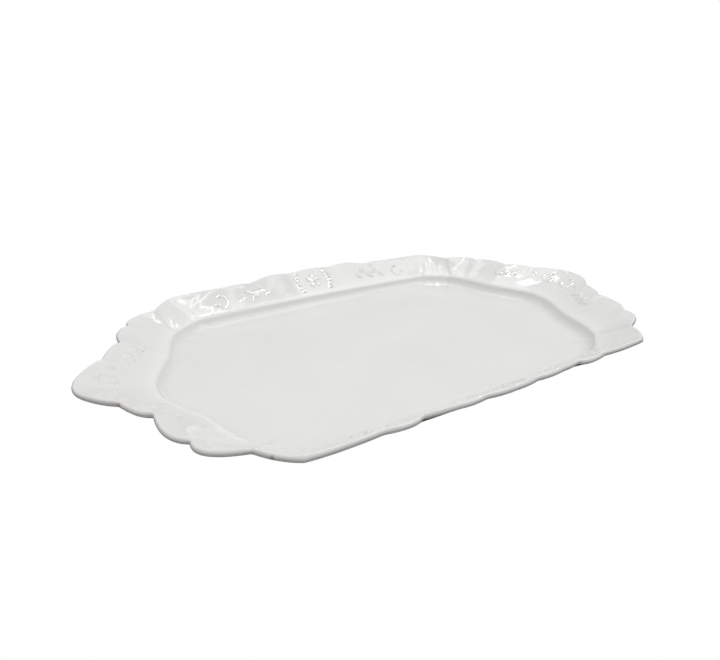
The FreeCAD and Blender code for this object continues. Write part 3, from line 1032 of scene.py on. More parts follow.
class GeometryTrees:
    """The trees that raise, sweep and repeat.

    The ranges are shares of the flange, over which a shape comes in or dies away.
    """

    PETAL_IN = (0.30, 0.72)
    PETAL_OUT = (0.74, 0.985)
    NOTCH_IN = (0.35, 0.9)
    NOTCH_OUT = (0.93, 1.0)
    VALLEY_IN = (0.02, 0.2)
    VALLEY_OUT = (0.80, 1.0)
    FLUTE_OUT = (0.72, 0.97)

    def __init__(self) -> None:
        """Build each tree once."""
        self.press = self._press()
        self.repeat = self._repeat()
        self.sweep = self._sweep()

    @staticmethod
    def _named(b: TreeBuilder, name: str, kind: str = "FLOAT") -> bpy.types.NodeSocket:
        """Return the value of a stored attribute."""
        return b.node("GeometryNodeInputNamedAttribute", {"data_type": kind}, Name=name).outputs["Attribute"]

    @staticmethod
    def _step(b: TreeBuilder, value: bpy.types.NodeSocket, reach: Plan) -> bpy.types.NodeSocket:
        """Return a soft step of a value, from 0 at the start of a range to 1 at its end."""
        made = b.node("ShaderNodeMapRange", {"interpolation_type": "SMOOTHSTEP"}, Value=value,
                      From_Min=reach[0], From_Max=reach[1])
        return made.outputs["Result"]

    def _fall(self, b: TreeBuilder, value: bpy.types.NodeSocket, reach: Plan) -> bpy.types.NodeSocket:
        """Return a soft step of a value, from 1 at the start of a range to 0 at its end."""
        return b.math("SUBTRACT", 1.0, self._step(b, value, reach))

    @staticmethod
    def _dressed(b: TreeBuilder, source: bpy.types.Node, given: bpy.types.Node) -> bpy.types.NodeTree:
        """Make a tree's geometry real, set its material and return the tree.

        Args:
            b: the tree's builder.
            source: the node that ends the shaping.
            given: the node of the tree's inputs.

        Returns:
            The finished tree.
        """
        real = b.node("GeometryNodeRealizeInstances", None, Geometry=source.outputs[0])
        dressed = b.node("GeometryNodeSetMaterial", None, Geometry=real.outputs[0],
                         Material=given.outputs["Material"])
        result = b.node("NodeGroupOutput")
        b.link(dressed.outputs[0], result.inputs["Geometry"])
        return b.tree

    def _press(self) -> bpy.types.NodeTree:
        """Return the tree that presses petals, notches, valleys and flutes into the face."""
        b = group_tree("press_ribs", "GeometryNodeTree", (
            ("Geometry", "INPUT", GEOMETRY, None), ("Geometry", "OUTPUT", GEOMETRY, None),
            ("Petal height", "INPUT", FLOAT, 0.0007), ("Notch depth", "INPUT", FLOAT, 0.0006),
            ("Valley depth", "INPUT", FLOAT, 0.0007), ("Flute depth", "INPUT", FLOAT, 0.0002),
            ("Material", "INPUT", MATERIAL, None)))
        given = b.node("NodeGroupInput")
        share = self._named(b, "share")
        inner = self._step(b, share, self.PETAL_IN)
        outer = self._fall(b, share, self.PETAL_OUT)
        petal = b.math("MULTIPLY", b.math("MULTIPLY", self._named(b, "petal"), inner), outer)
        petal = b.math("MULTIPLY", petal, given.outputs["Petal height"])
        notch_fade = b.math("MULTIPLY", self._step(b, share, self.NOTCH_IN),
                            self._fall(b, share, self.NOTCH_OUT))
        notch = b.math("MULTIPLY", b.math("MULTIPLY", self._named(b, "notch"), notch_fade),
                       given.outputs["Notch depth"])
        valley_fade = b.math("MULTIPLY", self._step(b, share, self.VALLEY_IN),
                             self._fall(b, share, self.VALLEY_OUT))
        valley = b.math("MULTIPLY", b.math("MULTIPLY", self._named(b, "valley"), valley_fade),
                        given.outputs["Valley depth"])
        lift = b.math("SUBTRACT", b.math("SUBTRACT", petal, notch), valley)
        up = b.node("ShaderNodeCombineXYZ", None, Z=lift)
        flute = b.math("MULTIPLY", self._named(b, "wave"), self._named(b, "fluted"))
        flute = b.math("MULTIPLY", flute, self._named(b, "climb"))
        flute = b.math("MULTIPLY", flute, self._fall(b, share, self.FLUTE_OUT))
        flute = b.math("MULTIPLY", flute, b.math("MULTIPLY", given.outputs["Flute depth"], -1.0))
        normal = b.node("GeometryNodeInputNormal").outputs[0]
        cut = b.node("ShaderNodeVectorMath", {"operation": "SCALE"}, i0=normal, Scale=flute)
        both = b.node("ShaderNodeVectorMath", {"operation": "ADD"}, i0=up.outputs[0], i1=cut.outputs[0])
        moved = b.node("GeometryNodeSetPosition", None, Geometry=given.outputs["Geometry"],
                       Offset=both.outputs[0])
        return self._dressed(b, moved, given)

    def _repeat(self) -> bpy.types.NodeTree:
        """Return the tree that stands one shape on every point, turned and sized by the point."""
        b = group_tree("stand_shapes", "GeometryNodeTree", (
            ("Geometry", "INPUT", GEOMETRY, None), ("Geometry", "OUTPUT", GEOMETRY, None),
            ("Shape", "INPUT", OBJECT, None), ("Height", "INPUT", FLOAT, 1.0),
            ("Material", "INPUT", MATERIAL, None)))
        given = b.node("NodeGroupInput")
        points = b.node("GeometryNodeMeshToPoints", None, Mesh=given.outputs["Geometry"])
        shape = b.node("GeometryNodeObjectInfo", None, Object=given.outputs["Shape"])
        turn = b.node("FunctionNodeEulerToRotation", None, Euler=self._named(b, "turn", "FLOAT_VECTOR"))
        tall = b.node("ShaderNodeCombineXYZ", None, X=1.0, Y=1.0, Z=given.outputs["Height"])
        size = b.node("ShaderNodeVectorMath", {"operation": "MULTIPLY"},
                      i0=self._named(b, "size", "FLOAT_VECTOR"), i1=tall.outputs[0])
        stood = b.node("GeometryNodeInstanceOnPoints", None, Points=points.outputs[0],
                       Instance=shape.outputs["Geometry"], Rotation=turn.outputs[0], Scale=size.outputs[0])
        return self._dressed(b, stood, given)

    def _sweep(self) -> bpy.types.NodeTree:
        """Return the tree that sweeps a profile along a line, as thick as the line's girth."""
        b = group_tree("sweep_profile", "GeometryNodeTree", (
            ("Geometry", "INPUT", GEOMETRY, None), ("Geometry", "OUTPUT", GEOMETRY, None),
            ("Profile", "INPUT", OBJECT, None), ("Material", "INPUT", MATERIAL, None)))
        given = b.node("NodeGroupInput")
        line = b.node("GeometryNodeMeshToCurve", None, Mesh=given.outputs["Geometry"])
        upright = b.node("GeometryNodeSetCurveNormal", {"mode": "Z_UP"}, Curve=line.outputs[0])
        shape = b.node("GeometryNodeObjectInfo", None, Object=given.outputs["Profile"])
        profile = b.node("GeometryNodeMeshToCurve", None, Mesh=shape.outputs["Geometry"])
        swept = b.node("GeometryNodeCurveToMesh", None, Curve=upright.outputs[0],
                       Profile_Curve=profile.outputs[0], Fill_Caps=True)
        if "Scale" in swept.inputs:
            b.link(self._named(b, "girth"), swept.inputs["Scale"])
        return self._dressed(b, swept, given)


# ------------------------------------------------------------------ body and glaze

FACE_STEP = 5      # one ring under the face for so many on it
BACK_STEP = 4
COAT = 0.4         # thickness of the glaze
RING_SETBACK = 9.0  # the foot ring's outer edge, in from the foot of the flange


@dataclass
class GlazedFace:
    """The coat on the side that is eaten from: floor, cove, wall, flange and lip."""

    plan: PlatterPlan
    section: WallSection
    coat: float = COAT
    floor_rings: Tuple[float, ...] = (0.06, 0.16, 0.30, 0.45, 0.60, 0.74, 0.85, 0.93)
    sunk_rings: Tuple[float, ...] = (0.7, 0.35)
    petal_height: float = 0.55
    notch_depth: float = 0.4
    valley_depth: float = 0.8
    flute_depth: float = 0.2
    ripple: float = 0.05
    ripples: Tuple[Tuple[int, float, float], ...] = (
        (31, 0.21, 0.5), (53, -0.33, 0.35), (87, 0.47, 0.3), (139, 0.7, 0.18))  # waves, slide, share
    floor_wave: float = 0.04
    crease_painted_shade: float = 0.20    # painted shade: darker in the creases and notches
    notch_share: float = 0.6
    cove_painted_light: float = 0.30  # painted light: lighter along the shoulder over the cove
    cove_run: float = 1.0
    cove_reach: float = 6.0
    outer: Optional[Array] = None
    hollow: Optional[Array] = None

    def _fields(self, curve: Curve2D) -> Dict[str, Array]:
        """Return the attributes of the press tree, and the painted shade and painted light, for rings by
        stations.
        """
        whole = np.ones(curve.run.shape)
        fields = {"share": curve.share}
        for key in ("petal", "notch", "valley", "wave", "fluted"):
            fields[key] = whole * self.plan.fields[key]
        shoulder = self.section.rim_height - self.section.shoulder_drop
        climb = (curve.rise - self.section.floor_height) / (shoulder - self.section.floor_height)
        fields["climb"] = smoothstep(0.0, 0.5, climb)
        # painted light: a lighter band along the shoulder and the foot of the flange, over the cove
        cove = np.exp(-((curve.run - self.cove_run) / self.cove_reach) ** 2)
        # painted shade: darker along the valleys and the outer part of the notches
        notches = self.notch_share * fields["notch"] * smoothstep(0.4, 0.9, curve.share)
        crease = np.clip(fields["valley"], 0, 1) + notches
        fields["hollow"] = self.crease_painted_shade * crease - self.cove_painted_light * cove * (curve.share > 0.02)
        return fields

    def _rippled(self, curve: Curve2D) -> Curve2D:
        """Return the section with the soft ripples that moulding and glazing leave."""
        stations = curve.run.shape[1]
        turn = np.arange(stations) / stations * 2 * math.pi
        rings = np.arange(curve.run.shape[0])[:, None]
        rise = curve.rise.copy()
        for waves, slide, size in self.ripples:
            rise += self.ripple * size * np.sin(waves * turn[None, :] + slide * rings + waves)
        rise[-1] = curve.rise[-1]
        rise[0] = curve.rise[0]
        return Curve2D(curve.run, rise, curve.share)

    def shape(self, trees: GeometryTrees, material: bpy.types.Material) -> Array:
        """Press the face with its tree and keep the points of its upper side.

        Args:
            trees: the geometry trees.
            material: the glaze.

        Returns:
            The points as rings by stations by XYZ.
        """
        rim = self.plan.fields["rim"]
        well = self.plan.fields["well"]
        width = np.linalg.norm(rim - well, axis=1)
        curve = self._rippled(self.section.face(width, self.plan.fields["lift"]))
        grid = ring_places(self.plan, curve)
        rings, around = grid.shape[:2]
        pressed = new_object("face_glaze_pressing", grid.reshape(-1, 3), grid_faces(rings, around, flip=True))
        fields = self._fields(curve)
        for name, values in fields.items():
            add_field(pressed, name, values)
        set_inputs(pressed, trees.press, {
            "Petal height": self.petal_height * METRE, "Notch depth": self.notch_depth * METRE,
            "Valley depth": self.valley_depth * METRE, "Flute depth": self.flute_depth * METRE,
            "Material": material})
        fixed_shape(pressed)
        self.outer = mesh_points(pressed).reshape(rings, around, 3)
        self.hollow = fields["hollow"]
        bpy.data.objects.remove(pressed)
        return self.outer

    def build(self, trees: GeometryTrees, material: bpy.types.Material) -> bpy.types.Object:
        """Return the closed coat.

        Args:
            trees: the geometry trees.
            material: the glaze.

        Returns:
            The piece.
        """
        outer = self.shape(trees, material)
        under = inset(outer, self.coat, FACE_STEP)
        edge = outer[0]
        around = edge.shape[0]
        middle = np.array([0.0, 0.0, self.section.floor_height])
        floor = []
        for share in self.floor_rings:
            ring = middle + (edge - middle) * share
            ring[:, 2] = edge[:, 2] - self.floor_wave * (1 - share) * (1 - share)
            floor.append(ring)
        top = np.concatenate([np.array(floor), outer])
        sunk = np.array([self._sunk(under[0], share) for share in self.sunk_rings])
        bottom = np.concatenate([under[::-1], sunk])
        rings = np.concatenate([top, bottom])
        middles = [middle - [0, 0, self.floor_wave], middle - [0, 0, self.coat]]
        points = np.vstack([rings.reshape(-1, 3), middles])
        piece = new_object("face_glaze_coat", points, capped_faces(len(rings), around, flip=True))
        # painted shade and painted light on the face's own rings; none on the floor rings or the lower side
        hollow = np.zeros(len(points))
        start = len(floor) * around
        hollow[start:start + self.hollow.size] = self.hollow.ravel()
        add_field(piece, "hollow", hollow)
        return piece

    @staticmethod
    def _sunk(ring: Array, share: float) -> Array:
        """Return a ring of the coat's lower side drawn in towards the middle."""
        made = ring * share
        made[:, 2] = ring[:, 2]
        return made


@dataclass
class GlazedBack:
    """The coat on the underside, from the edge of the lip in to the foot ring."""

    plan: PlatterPlan
    section: WallSection
    coat: float = COAT
    setback: float = RING_SETBACK
    # painted shade: how many rings next to the foot ring are darker, and by how much
    shade_rings: int = 9
    pool: float = 0.35
    outer: Optional[Array] = None

    def shape(self, lip: Array) -> Array:
        """Return the points of the outer side as rings by stations by XYZ.

        Args:
            lip: the edge of the lip, from the face.

        Returns:
            The points.
        """
        width = np.linalg.norm(self.plan.fields["rim"] - self.plan.fields["well"], axis=1)
        curve = self.section.back(width, self.plan.fields["lift"], self.setback)
        self.outer = ring_places(self.plan, curve)
        self.outer[0] = lip
        return self.outer

    def build(self, lip: Array) -> bpy.types.Object:
        """Return the closed coat.

        Args:
            lip: the edge of the lip, from the face.

        Returns:
            The piece.
        """
        outer = self.shape(lip)
        rings = np.concatenate([outer, inset(outer, self.coat, BACK_STEP)[::-1]])
        faces = grid_faces(len(rings), rings.shape[1], closed_up=True, flip=True)
        piece = new_object("back_glaze_coat", rings.reshape(-1, 3), faces)
        # painted shade: the rings next to the foot ring are darker
        hollow = np.zeros(rings.shape[:2])
        hollow[len(outer) - self.shade_rings:len(outer) - 1] = self.pool
        add_field(piece, "hollow", hollow)
        return piece


@dataclass
class GlazedBase:
    """The pool of glaze on the base, inside the foot ring."""

    plan: PlatterPlan
    section: WallSection
    setback: float = 14.0
    coat: float = COAT
    crawl: float = 0.25          # how far the edge has drawn up from the base
    shares: Tuple[float, ...] = (0.2, 0.4, 0.6, 0.8, 0.93, 0.985, 1.0)
    inner_shares: Tuple[float, ...] = (1.0, 0.8, 0.4)

    def build(self) -> bpy.types.Object:
        """Return the closed pool, a little thicker where it meets the ring."""
        scale = 1 - self.setback / self.plan.half_well
        edge = self.plan.fields["floor"] * scale
        around = len(edge)
        base = self.section.foot_height
        rings = []
        for share in self.shares:
            height = base + (self.crawl if share == 1.0 else 0.0)
            rings.append(np.column_stack([edge * share, np.full(around, height)]))
        for share in self.inner_shares:
            rings.append(np.column_stack([edge * share, np.full(around, base + self.coat)]))
        points = np.vstack(rings + [[[0, 0, base], [0, 0, base + self.coat]]])
        piece = new_object("base_glaze_pool", points, capped_faces(len(rings), around))
        add_field(piece, "hollow", np.zeros(len(points)))
        return piece


@dataclass
class ClayCore:
    """The fired clay between the coats of glaze."""

    plan: PlatterPlan
    section: WallSection
    depth: float = 0.43

    def build(self, face: GlazedFace, back: GlazedBack) -> bpy.types.Object:
        """Return the closed body.

        Args:
            face: the face, already shaped.
            back: the back, already shaped.

        Returns:
            The piece.
        """
        top = inset(face.outer, self.depth, FACE_STEP)
        under = inset(back.outer, self.depth, BACK_STEP)
        rings = np.concatenate([top, under[1:]])
        low = self.section.foot_height + COAT
        high = self.section.floor_height - COAT
        points = np.vstack([rings.reshape(-1, 3), [0, 0, high], [0, 0, low]])
        return new_object("clay_core", points, capped_faces(len(rings), rings.shape[1], flip=True))


@dataclass
class FootRing:
    """The bare ring that the platter stands on."""

    plan: PlatterPlan
    section: WallSection
    setback: float = RING_SETBACK
    width: float = 5.0
    taper: float = 0.7
    rounding: float = 0.35
    corner: float = 0.12
    set_in: float = 0.38         # how far it reaches into the clay over its top
    around: int = 480

    def _profile(self) -> bpy.types.Object:
        """Return the ring's section as a closed line, tall along its own Y."""
        half = self.width / 2
        foot = half - self.taper
        height = self.section.foot_height
        soft = self.rounding
        corner = self.corner
        right = [(foot - soft, 0.0), (foot - corner, corner), (foot, soft), (foot + 0.1, soft * 2),
                 (half, height), (half, height + self.set_in)]
        left = [(-x, y) for x, y in right[::-1]]
        points = [(x * METRE, -y * METRE, 0.0) for x, y in (left + right)[::-1]]
        return new_line("foot_profile", points, closed=True)

    def build(self, trees: GeometryTrees, material: bpy.types.Material) -> bpy.types.Object:
        """Return the swept ring."""
        scale = 1 - (self.setback + self.width / 2) / self.plan.half_well
        picks = np.linspace(0, self.plan.around, self.around, endpoint=False).astype(int)
        line = self.plan.fields["floor"][picks] * scale
        piece = new_line("foot_ring_bare", [(x * METRE, y * METRE, 0.0) for x, y in line], closed=True)
        add_field(piece, "girth", np.ones(len(line)))
        profile = self._profile()
        set_inputs(piece, trees.sweep, {"Profile": profile, "Material": material})
        fixed_shape(piece)
        bpy.data.objects.remove(profile)
        return piece


# ------------------------------------------------------------------ raised ornament

class Seat:
    """Finds places on the glazed face."""

    def __init__(self, face: bpy.types.Object) -> None:
        """Index the face."""
        points = [vertex.co.copy() for vertex in face.data.vertices]
        self.tree = BVHTree.FromPolygons(points, [tuple(polygon.vertices) for polygon in face.data.polygons])

    def at(self, x: float, y: float) -> Tuple[Vector, Vector]:
        """Return the point of the face over a place in plan, and its normal.

        Args:
            x: the place along the length, in millimetres.
            y: and along the width.

        Returns:
            The point, in metres, and the normal.
        """
        place, normal, _, _ = self.tree.ray_cast(Vector((x * METRE, y * METRE, 0.2)), Vector((0, 0, -1)))
        return place, normal


@dataclass(frozen=True)
class Mark:
    """One raised shape: place, heading in degrees and size."""

    x: float
    y: float
    heading: float
    length: float
    width: float
    height: float

    def into(self, quarter: Quarter) -> "Mark":
        """Return the mark mirrored into another quarter."""
        sign_x, sign_y = quarter.value
        turn = math.radians(self.heading)
        heading = math.degrees(math.atan2(math.sin(turn) * sign_y, math.cos(turn) * sign_x))
        return Mark(self.x * sign_x, self.y * sign_y, heading, self.length, self.width, self.height)


class Form(Enum):
    """The raised shapes."""

    BEAD = "bead"
    PETAL = "petal"
    LEAF = "leaf"


class Relief:
    """Makes ornament that sits on the glazed face."""

    RINGS = 14
    SIDES = 36
    SKIRT = 1.42        # the soft foot of a shape, for a radius of 1
    FALL = 1.6          # how soon a shape falls away from its top
    SET_IN = 0.03       # how far a shape of height 1 is let into the face
    UNDERSIDE = -0.3
    UNDERSIDE_SHARE = 0.98
    STEM_SET_IN = 0.70  # how far a stem of girth 1 is let into the face
    STEM_SIDES = 20

    def __init__(self, plan: PlatterPlan, seat: Seat, trees: GeometryTrees,
                 material: bpy.types.Material) -> None:
        """Keep what every piece needs."""
        self.plan = plan
        self.seat = seat
        self.trees = trees
        self.material = material
        self.templates = {form: self._template(form) for form in Form}

    def _height(self, form: Form, r: float, turn: float) -> float:
        """Return the height of a raised shape.

        Args:
            form: which shape.
            r: share of its radius.
            turn: angle round it.

        Returns:
            The height, 1 at the top of a bead.
        """
        level = max(0.0, 1 - (r / self.SKIRT) ** 2) ** self.FALL
        x = r * math.cos(turn)
        y = r * math.sin(turn)
        if form is Form.PETAL:
            level *= 1 - 0.28 * math.exp(-(y / 0.2) ** 2) * (1 - math.exp(-((x + 0.9) / 0.5) ** 2))
        if form is Form.LEAF:
            level *= 1 - 0.35 * math.exp(-(y / 0.16) ** 2)
            level *= 1 + 0.10 * math.sin(9 * x + 3 * abs(y))
        return level

    def _outline(self, form: Form, r: float, turn: float) -> Plan:
        """Return the place of a raised shape's point in its own plan.

        Args:
            form: which shape.
            r: share of its radius.
            turn: angle round it.

        Returns:
            The place, for a radius of 1.
        """
        x = r * math.cos(turn)
        y = r * math.sin(turn)
        if form is Form.PETAL:
            y *= 0.86 + 0.22 * x
            x -= 0.12 * max(0.0, math.cos(turn)) ** 6 * r
        if form is Form.LEAF:
            y *= 1 - 0.42 * abs(x) ** 1.5
        return x, y

    def _template(self, form: Form) -> bpy.types.Object:
        """Return one raised shape, one metre in radius and height, closed underneath."""
        points: List[Tuple[float, float, float]] = []
        for ring in range(1, self.RINGS + 1):
            r = self.SKIRT * ring / self.RINGS
            for side in range(self.SIDES):
                turn = 2 * math.pi * side / self.SIDES
                x, y = self._outline(form, r, turn)
                points.append((x, y, self._height(form, r, turn) - self.SET_IN))
        lowest = []
        for side in range(self.SIDES):
            x, y, _ = points[(self.RINGS - 1) * self.SIDES + side]
            lowest.append((x * self.UNDERSIDE_SHARE, y * self.UNDERSIDE_SHARE, self.UNDERSIDE))
        points += lowest
        points += [(0.0, 0.0, self._height(form, 0.0, 0.0) - self.SET_IN), (0.0, 0.0, self.UNDERSIDE)]
        faces = capped_faces(self.RINGS + 1, self.SIDES, flip=True)
        return new_object("form_" + form.value, np.array(points) / METRE, faces)

    def clear_templates(self) -> None:
        """Remove the shapes that the pieces were made from."""
        for shape in self.templates.values():
            bpy.data.objects.remove(shape)

    def stood(self, name: str, form: Form, marks: Sequence[Mark]) -> bpy.types.Object:
        """Return one object with a raised shape on the face at each mark.

        Args:
            name: name of the object.
            form: which raised shape.
            marks: where, and how large.

        Returns:
            The object.
        """
        places = []
        turns = []
        sizes = []
        for mark in marks:
            place, normal = self.seat.at(mark.x, mark.y)
            turn = math.radians(mark.heading)
            heading = Vector((math.cos(turn), math.sin(turn), 0))
            side = normal.cross(heading).normalized()
            ahead = side.cross(normal)
            matrix = Matrix((ahead, side, normal)).transposed()
            places.append(place / METRE)
            turns.append(tuple(matrix.to_euler("XYZ")))
            sizes.append((mark.length / 2 * METRE, mark.width / 2 * METRE, mark.height * METRE))
        made = new_object(name, np.array([tuple(place) for place in places]), [])
        add_field(made, "turn", np.array(turns), "FLOAT_VECTOR")
        add_field(made, "size", np.array(sizes), "FLOAT_VECTOR")
        set_inputs(made, self.trees.repeat, {
            "Shape": self.templates[form], "Height": 1.0, "Material": self.material})
        fixed_shape(made)
        return made

    def stem(self, name: str, line: Sequence[Plan], girths: Sequence[float]) -> bpy.types.Object:
        """Return a rounded stem that lies along the face.

        Args:
            name: name of the object.
            line: places that it passes through, in plan.
            girths: its radius at each.

        Returns:
            The object.
        """
        points = []
        for (x, y), girth in zip(line, girths):
            place, normal = self.seat.at(x, y)
            points.append(tuple(place - normal * (self.STEM_SET_IN * girth * METRE)))
        made = new_line(name, points, closed=False)
        add_field(made, "girth", np.array(girths))
        turns = [2 * math.pi * side / self.STEM_SIDES for side in range(self.STEM_SIDES)]
        ring = [(math.cos(turn) * METRE, math.sin(turn) * METRE, 0.0) for turn in turns]
        profile = new_line(name + "_profile", ring, closed=True)
        set_inputs(made, self.trees.sweep, {"Profile": profile, "Material": self.material})
        fixed_shape(made)
        bpy.data.objects.remove(profile)
        return made


def joined(name: str, parts: Sequence[bpy.types.Object]) -> bpy.types.Object:
    """Return one object made of several, which are removed.

    Args:
        name: its name.
        parts: the objects.

    Returns:
        The object.
    """
    points = []
    faces = []
    for part in parts:
        offset = len(points)
        points.extend(tuple(point) for point in mesh_points(part))
        faces.extend(tuple(offset + vertex for vertex in polygon.vertices) for polygon in part.data.polygons)
        bpy.data.objects.remove(part)
    return new_object(name, np.array(points), faces)


@dataclass(frozen=True)
class LeafRow:
    """A row of leaves on both sides of a stem."""

    start: float     # first station
    end: float       # last station
    share: float     # where the stem lies on the flange
    spread: float    # from the stem to the middle of a leaf, as a flange share
    count: int = 5


@dataclass(frozen=True)
class Curl:
    """A curled stem."""

    station: float
    share: float     # where its middle is on the flange
    bend: float      # its radius
    heading: float   # where it starts, in degrees from the length


@dataclass
class Ornament:
    """The raised ornament on the flange, one piece for each node of the frame."""

    relief: Relief
    height: float = 1.0
    bead: float = 1.75
    flower_share: float = 0.52
    petals: int = 5
    arc_radius: float = 15.0
    arc_start: float = -32.0
    arc_sweep: float = 58.0
    arc_beads: int = 6
    petal_ring: float = 4.5
    petal_length: float = 5.2
    petal_width: float = 4.8
    petal_height: float = 0.85
    sprig: LeafRow = LeafRow(8.65, 7.55, 0.55, 0.11)
    spray: LeafRow = LeafRow(2.20, 3.05, 0.62, 0.05)
    leaf_length: float = 6.8
    leaf_width: float = 4.0
    leaf_height: float = 0.8
    leaf_lean: float = 40.0
    stem_steps: int = 24
    stem_girth: float = 0.55
    stem_swell: float = 0.6
    scroll_steps: int = 48
    scroll_turn: float = 250.0
    scroll_closing: float = 0.14
    scroll_girth: float = 2.0
    scroll_waist: float = 0.35
    end_curl: Curl = Curl(0.80, 0.62, 5.5, 0.0)
    side_curl: Curl = Curl(6.85, 0.45, 5.0, 90.0)
    end_bead: Plan = (1.60, 0.72)  # station and flange share

    def _bead(self, place: Array) -> Mark:
        """Return a bead's mark."""
        return Mark(place[0], place[1], 0.0, 2 * self.bead, 2 * self.bead, self.height)

    def flower(self, quarter: Quarter) -> bpy.types.Object:
        """Return the flower on one long side: petals round a bead."""
        middle = self.relief.plan.place(MIDDLE, self.flower_share)
        marks = []
        for number in range(self.petals):
            heading = 90 + number * 360 / self.petals
            turn = math.radians(heading)
            x = middle[0] + self.petal_ring * math.cos(turn)
            y = middle[1] + self.petal_ring * math.sin(turn)
            petal = Mark(x, y, heading, self.petal_length, self.petal_width, self.petal_height * self.height)
            marks.append(petal.into(quarter))
        name = "flower_" + quarter.side
        parts = [self.relief.stood(name + "_petals", Form.PETAL, marks),
                 self.relief.stood(name + "_eye", Form.BEAD, [self._bead(middle).into(quarter)])]
        return joined(name + "_raised", parts)

    def bead_arcs(self, quarter: Quarter) -> bpy.types.Object:
        """Return the arcs of beads at both sides of a flower."""
        middle = self.relief.plan.place(MIDDLE, self.flower_share)
        marks = []
        for number in range(self.arc_beads):
            turn = math.radians(self.arc_start + self.arc_sweep * number / (self.arc_beads - 1))
            for sign_x in (1, -1):
                x = sign_x * self.arc_radius * math.cos(turn)
                y = middle[1] + self.arc_radius * math.sin(turn)
                marks.append(self._bead(np.array((x, y))).into(quarter))
        return self.relief.stood("bead_arcs_" + quarter.side + "_raised", Form.BEAD, marks)

    def leaves(self, name: str, row: LeafRow, quarter: Quarter) -> bpy.types.Object:
        """Return a row of leaves that lean out to both sides of a thin stem.

        Args:
            name: the piece's name.
            row: the leaves.
            quarter: where it goes.

        Returns:
            The piece.
        """
        plan = self.relief.plan
        reach = row.end - row.start
        first = plan.place(row.start, row.share)
        last = plan.place(row.end, row.share)
        line = math.degrees(math.atan2(last[1] - first[1], last[0] - first[0]))
        marks = []
        for number in range(row.count):
            lean = 1 if number % 2 else -1
            place = plan.place(row.start + reach * number / (row.count - 1), row.share + lean * row.spread)
            leaf = Mark(place[0], place[1], line + lean * self.leaf_lean, self.leaf_length, self.leaf_width,
                        self.leaf_height * self.height)
            marks.append(leaf.into(quarter))
        sign_x, sign_y = quarter.value
        steps = [number / self.stem_steps for number in range(self.stem_steps + 1)]
        places = [plan.place(row.start + reach * step, row.share) for step in steps]
        stem_line = [(place[0] * sign_x, place[1] * sign_y) for place in places]
        girths = [self.stem_girth + self.stem_swell * math.sin(math.pi * step) for step in steps]
        parts = [self.relief.stood(name + "_leaves", Form.LEAF, marks),
                 self.relief.stem(name + "_stem", stem_line, girths)]
        return joined(name + "_raised", parts)

    def curl(self, name: str, curl: Curl, quarter: Quarter) -> bpy.types.Object:
        """Return a curled stem that ends in bosses.

        Args:
            name: the piece's name.
            curl: the stem's place and bend.
            quarter: where it goes.

        Returns:
            The piece.
        """
        centre = self.relief.plan.place(curl.station, curl.share)
        sign_x, sign_y = quarter.value
        line = []
        girths = []
        for number in range(self.scroll_steps + 1):
            step = number / self.scroll_steps
            turn = math.radians(curl.heading + self.scroll_turn * step)
            reach = curl.bend * (1 - self.scroll_closing * step)
            x = centre[0] + reach * math.cos(turn)
            y = centre[1] + reach * math.sin(turn)
            line.append((x * sign_x, y * sign_y))
            girths.append(self.scroll_girth * (1.0 - self.scroll_waist * math.sin(math.pi * step)))
        bosses = []
        for (x, y), size in ((line[0], 1.0), (line[-1], 0.95)):
            bosses.append(Mark(x, y, 0.0, 2 * self.bead * size, 2 * self.bead * size, self.height))
        return joined(name, [self.relief.stem(name + "_stem", line, girths),
                             self.relief.stood(name + "_boss", Form.BEAD, bosses)])

    def end_scrolls(self, side: str) -> bpy.types.Object:
        """Return the curled stems and beads at one tip."""
        pair = {"right": (Quarter.BACK_RIGHT, Quarter.FRONT_RIGHT),
                "left": (Quarter.BACK_LEFT, Quarter.FRONT_LEFT)}
        parts = []
        beads = []
        for quarter in pair[side]:
            parts.append(self.curl("end_scroll_" + quarter.suffix, self.end_curl, quarter))
            beads.append(self._bead(self.relief.plan.place(*self.end_bead)).into(quarter))
        parts.append(self.relief.stood("end_beads_" + side, Form.BEAD, beads))
        return joined("end_scrolls_" + side + "_raised", parts)

    def side_scroll(self, quarter: Quarter) -> bpy.types.Object:
        """Return the curled stem beyond a leaf sprig."""
        return self.curl("side_scroll_" + quarter.suffix + "_raised", self.side_curl, quarter)

    def build(self, material: bpy.types.Material) -> None:
        """Make every piece and say what it stands for."""
        for quarter in (Quarter.BACK_RIGHT, Quarter.FRONT_RIGHT):
            finish_piece(self.flower(quarter), material, ["flower_" + quarter.side])
            finish_piece(self.bead_arcs(quarter), material, ["bead_arcs_" + quarter.side])
        for side in ("right", "left"):
            finish_piece(self.end_scrolls(side), material, ["end_scrolls_" + side])
        for quarter in Quarter:
            node = "leaf_sprig_" + quarter.suffix
            finish_piece(self.leaves(node, self.sprig, quarter), material, [node])
            finish_piece(self.side_scroll(quarter), material, ["side_scroll_" + quarter.suffix])
            node = "end_spray_" + quarter.suffix
            finish_piece(self.leaves(node, self.spray, quarter), material, [node])
        self.relief.clear_templates()


# ------------------------------------------------------------------ studio

class Reach(Enum):
    """What a light reaches."""

    ALL = "all"
    GLINTS = "glints"  # only reflections
    RELIEF = "relief"  # only reflections, and only on the ornament that the studio names


@dataclass(frozen=True)
class Lamp:
    """A soft rectangular light."""

    name: str
    place: Place
    target: Place
    size: Tuple[float, float]
    power: float
    reach: Reach = Reach.ALL


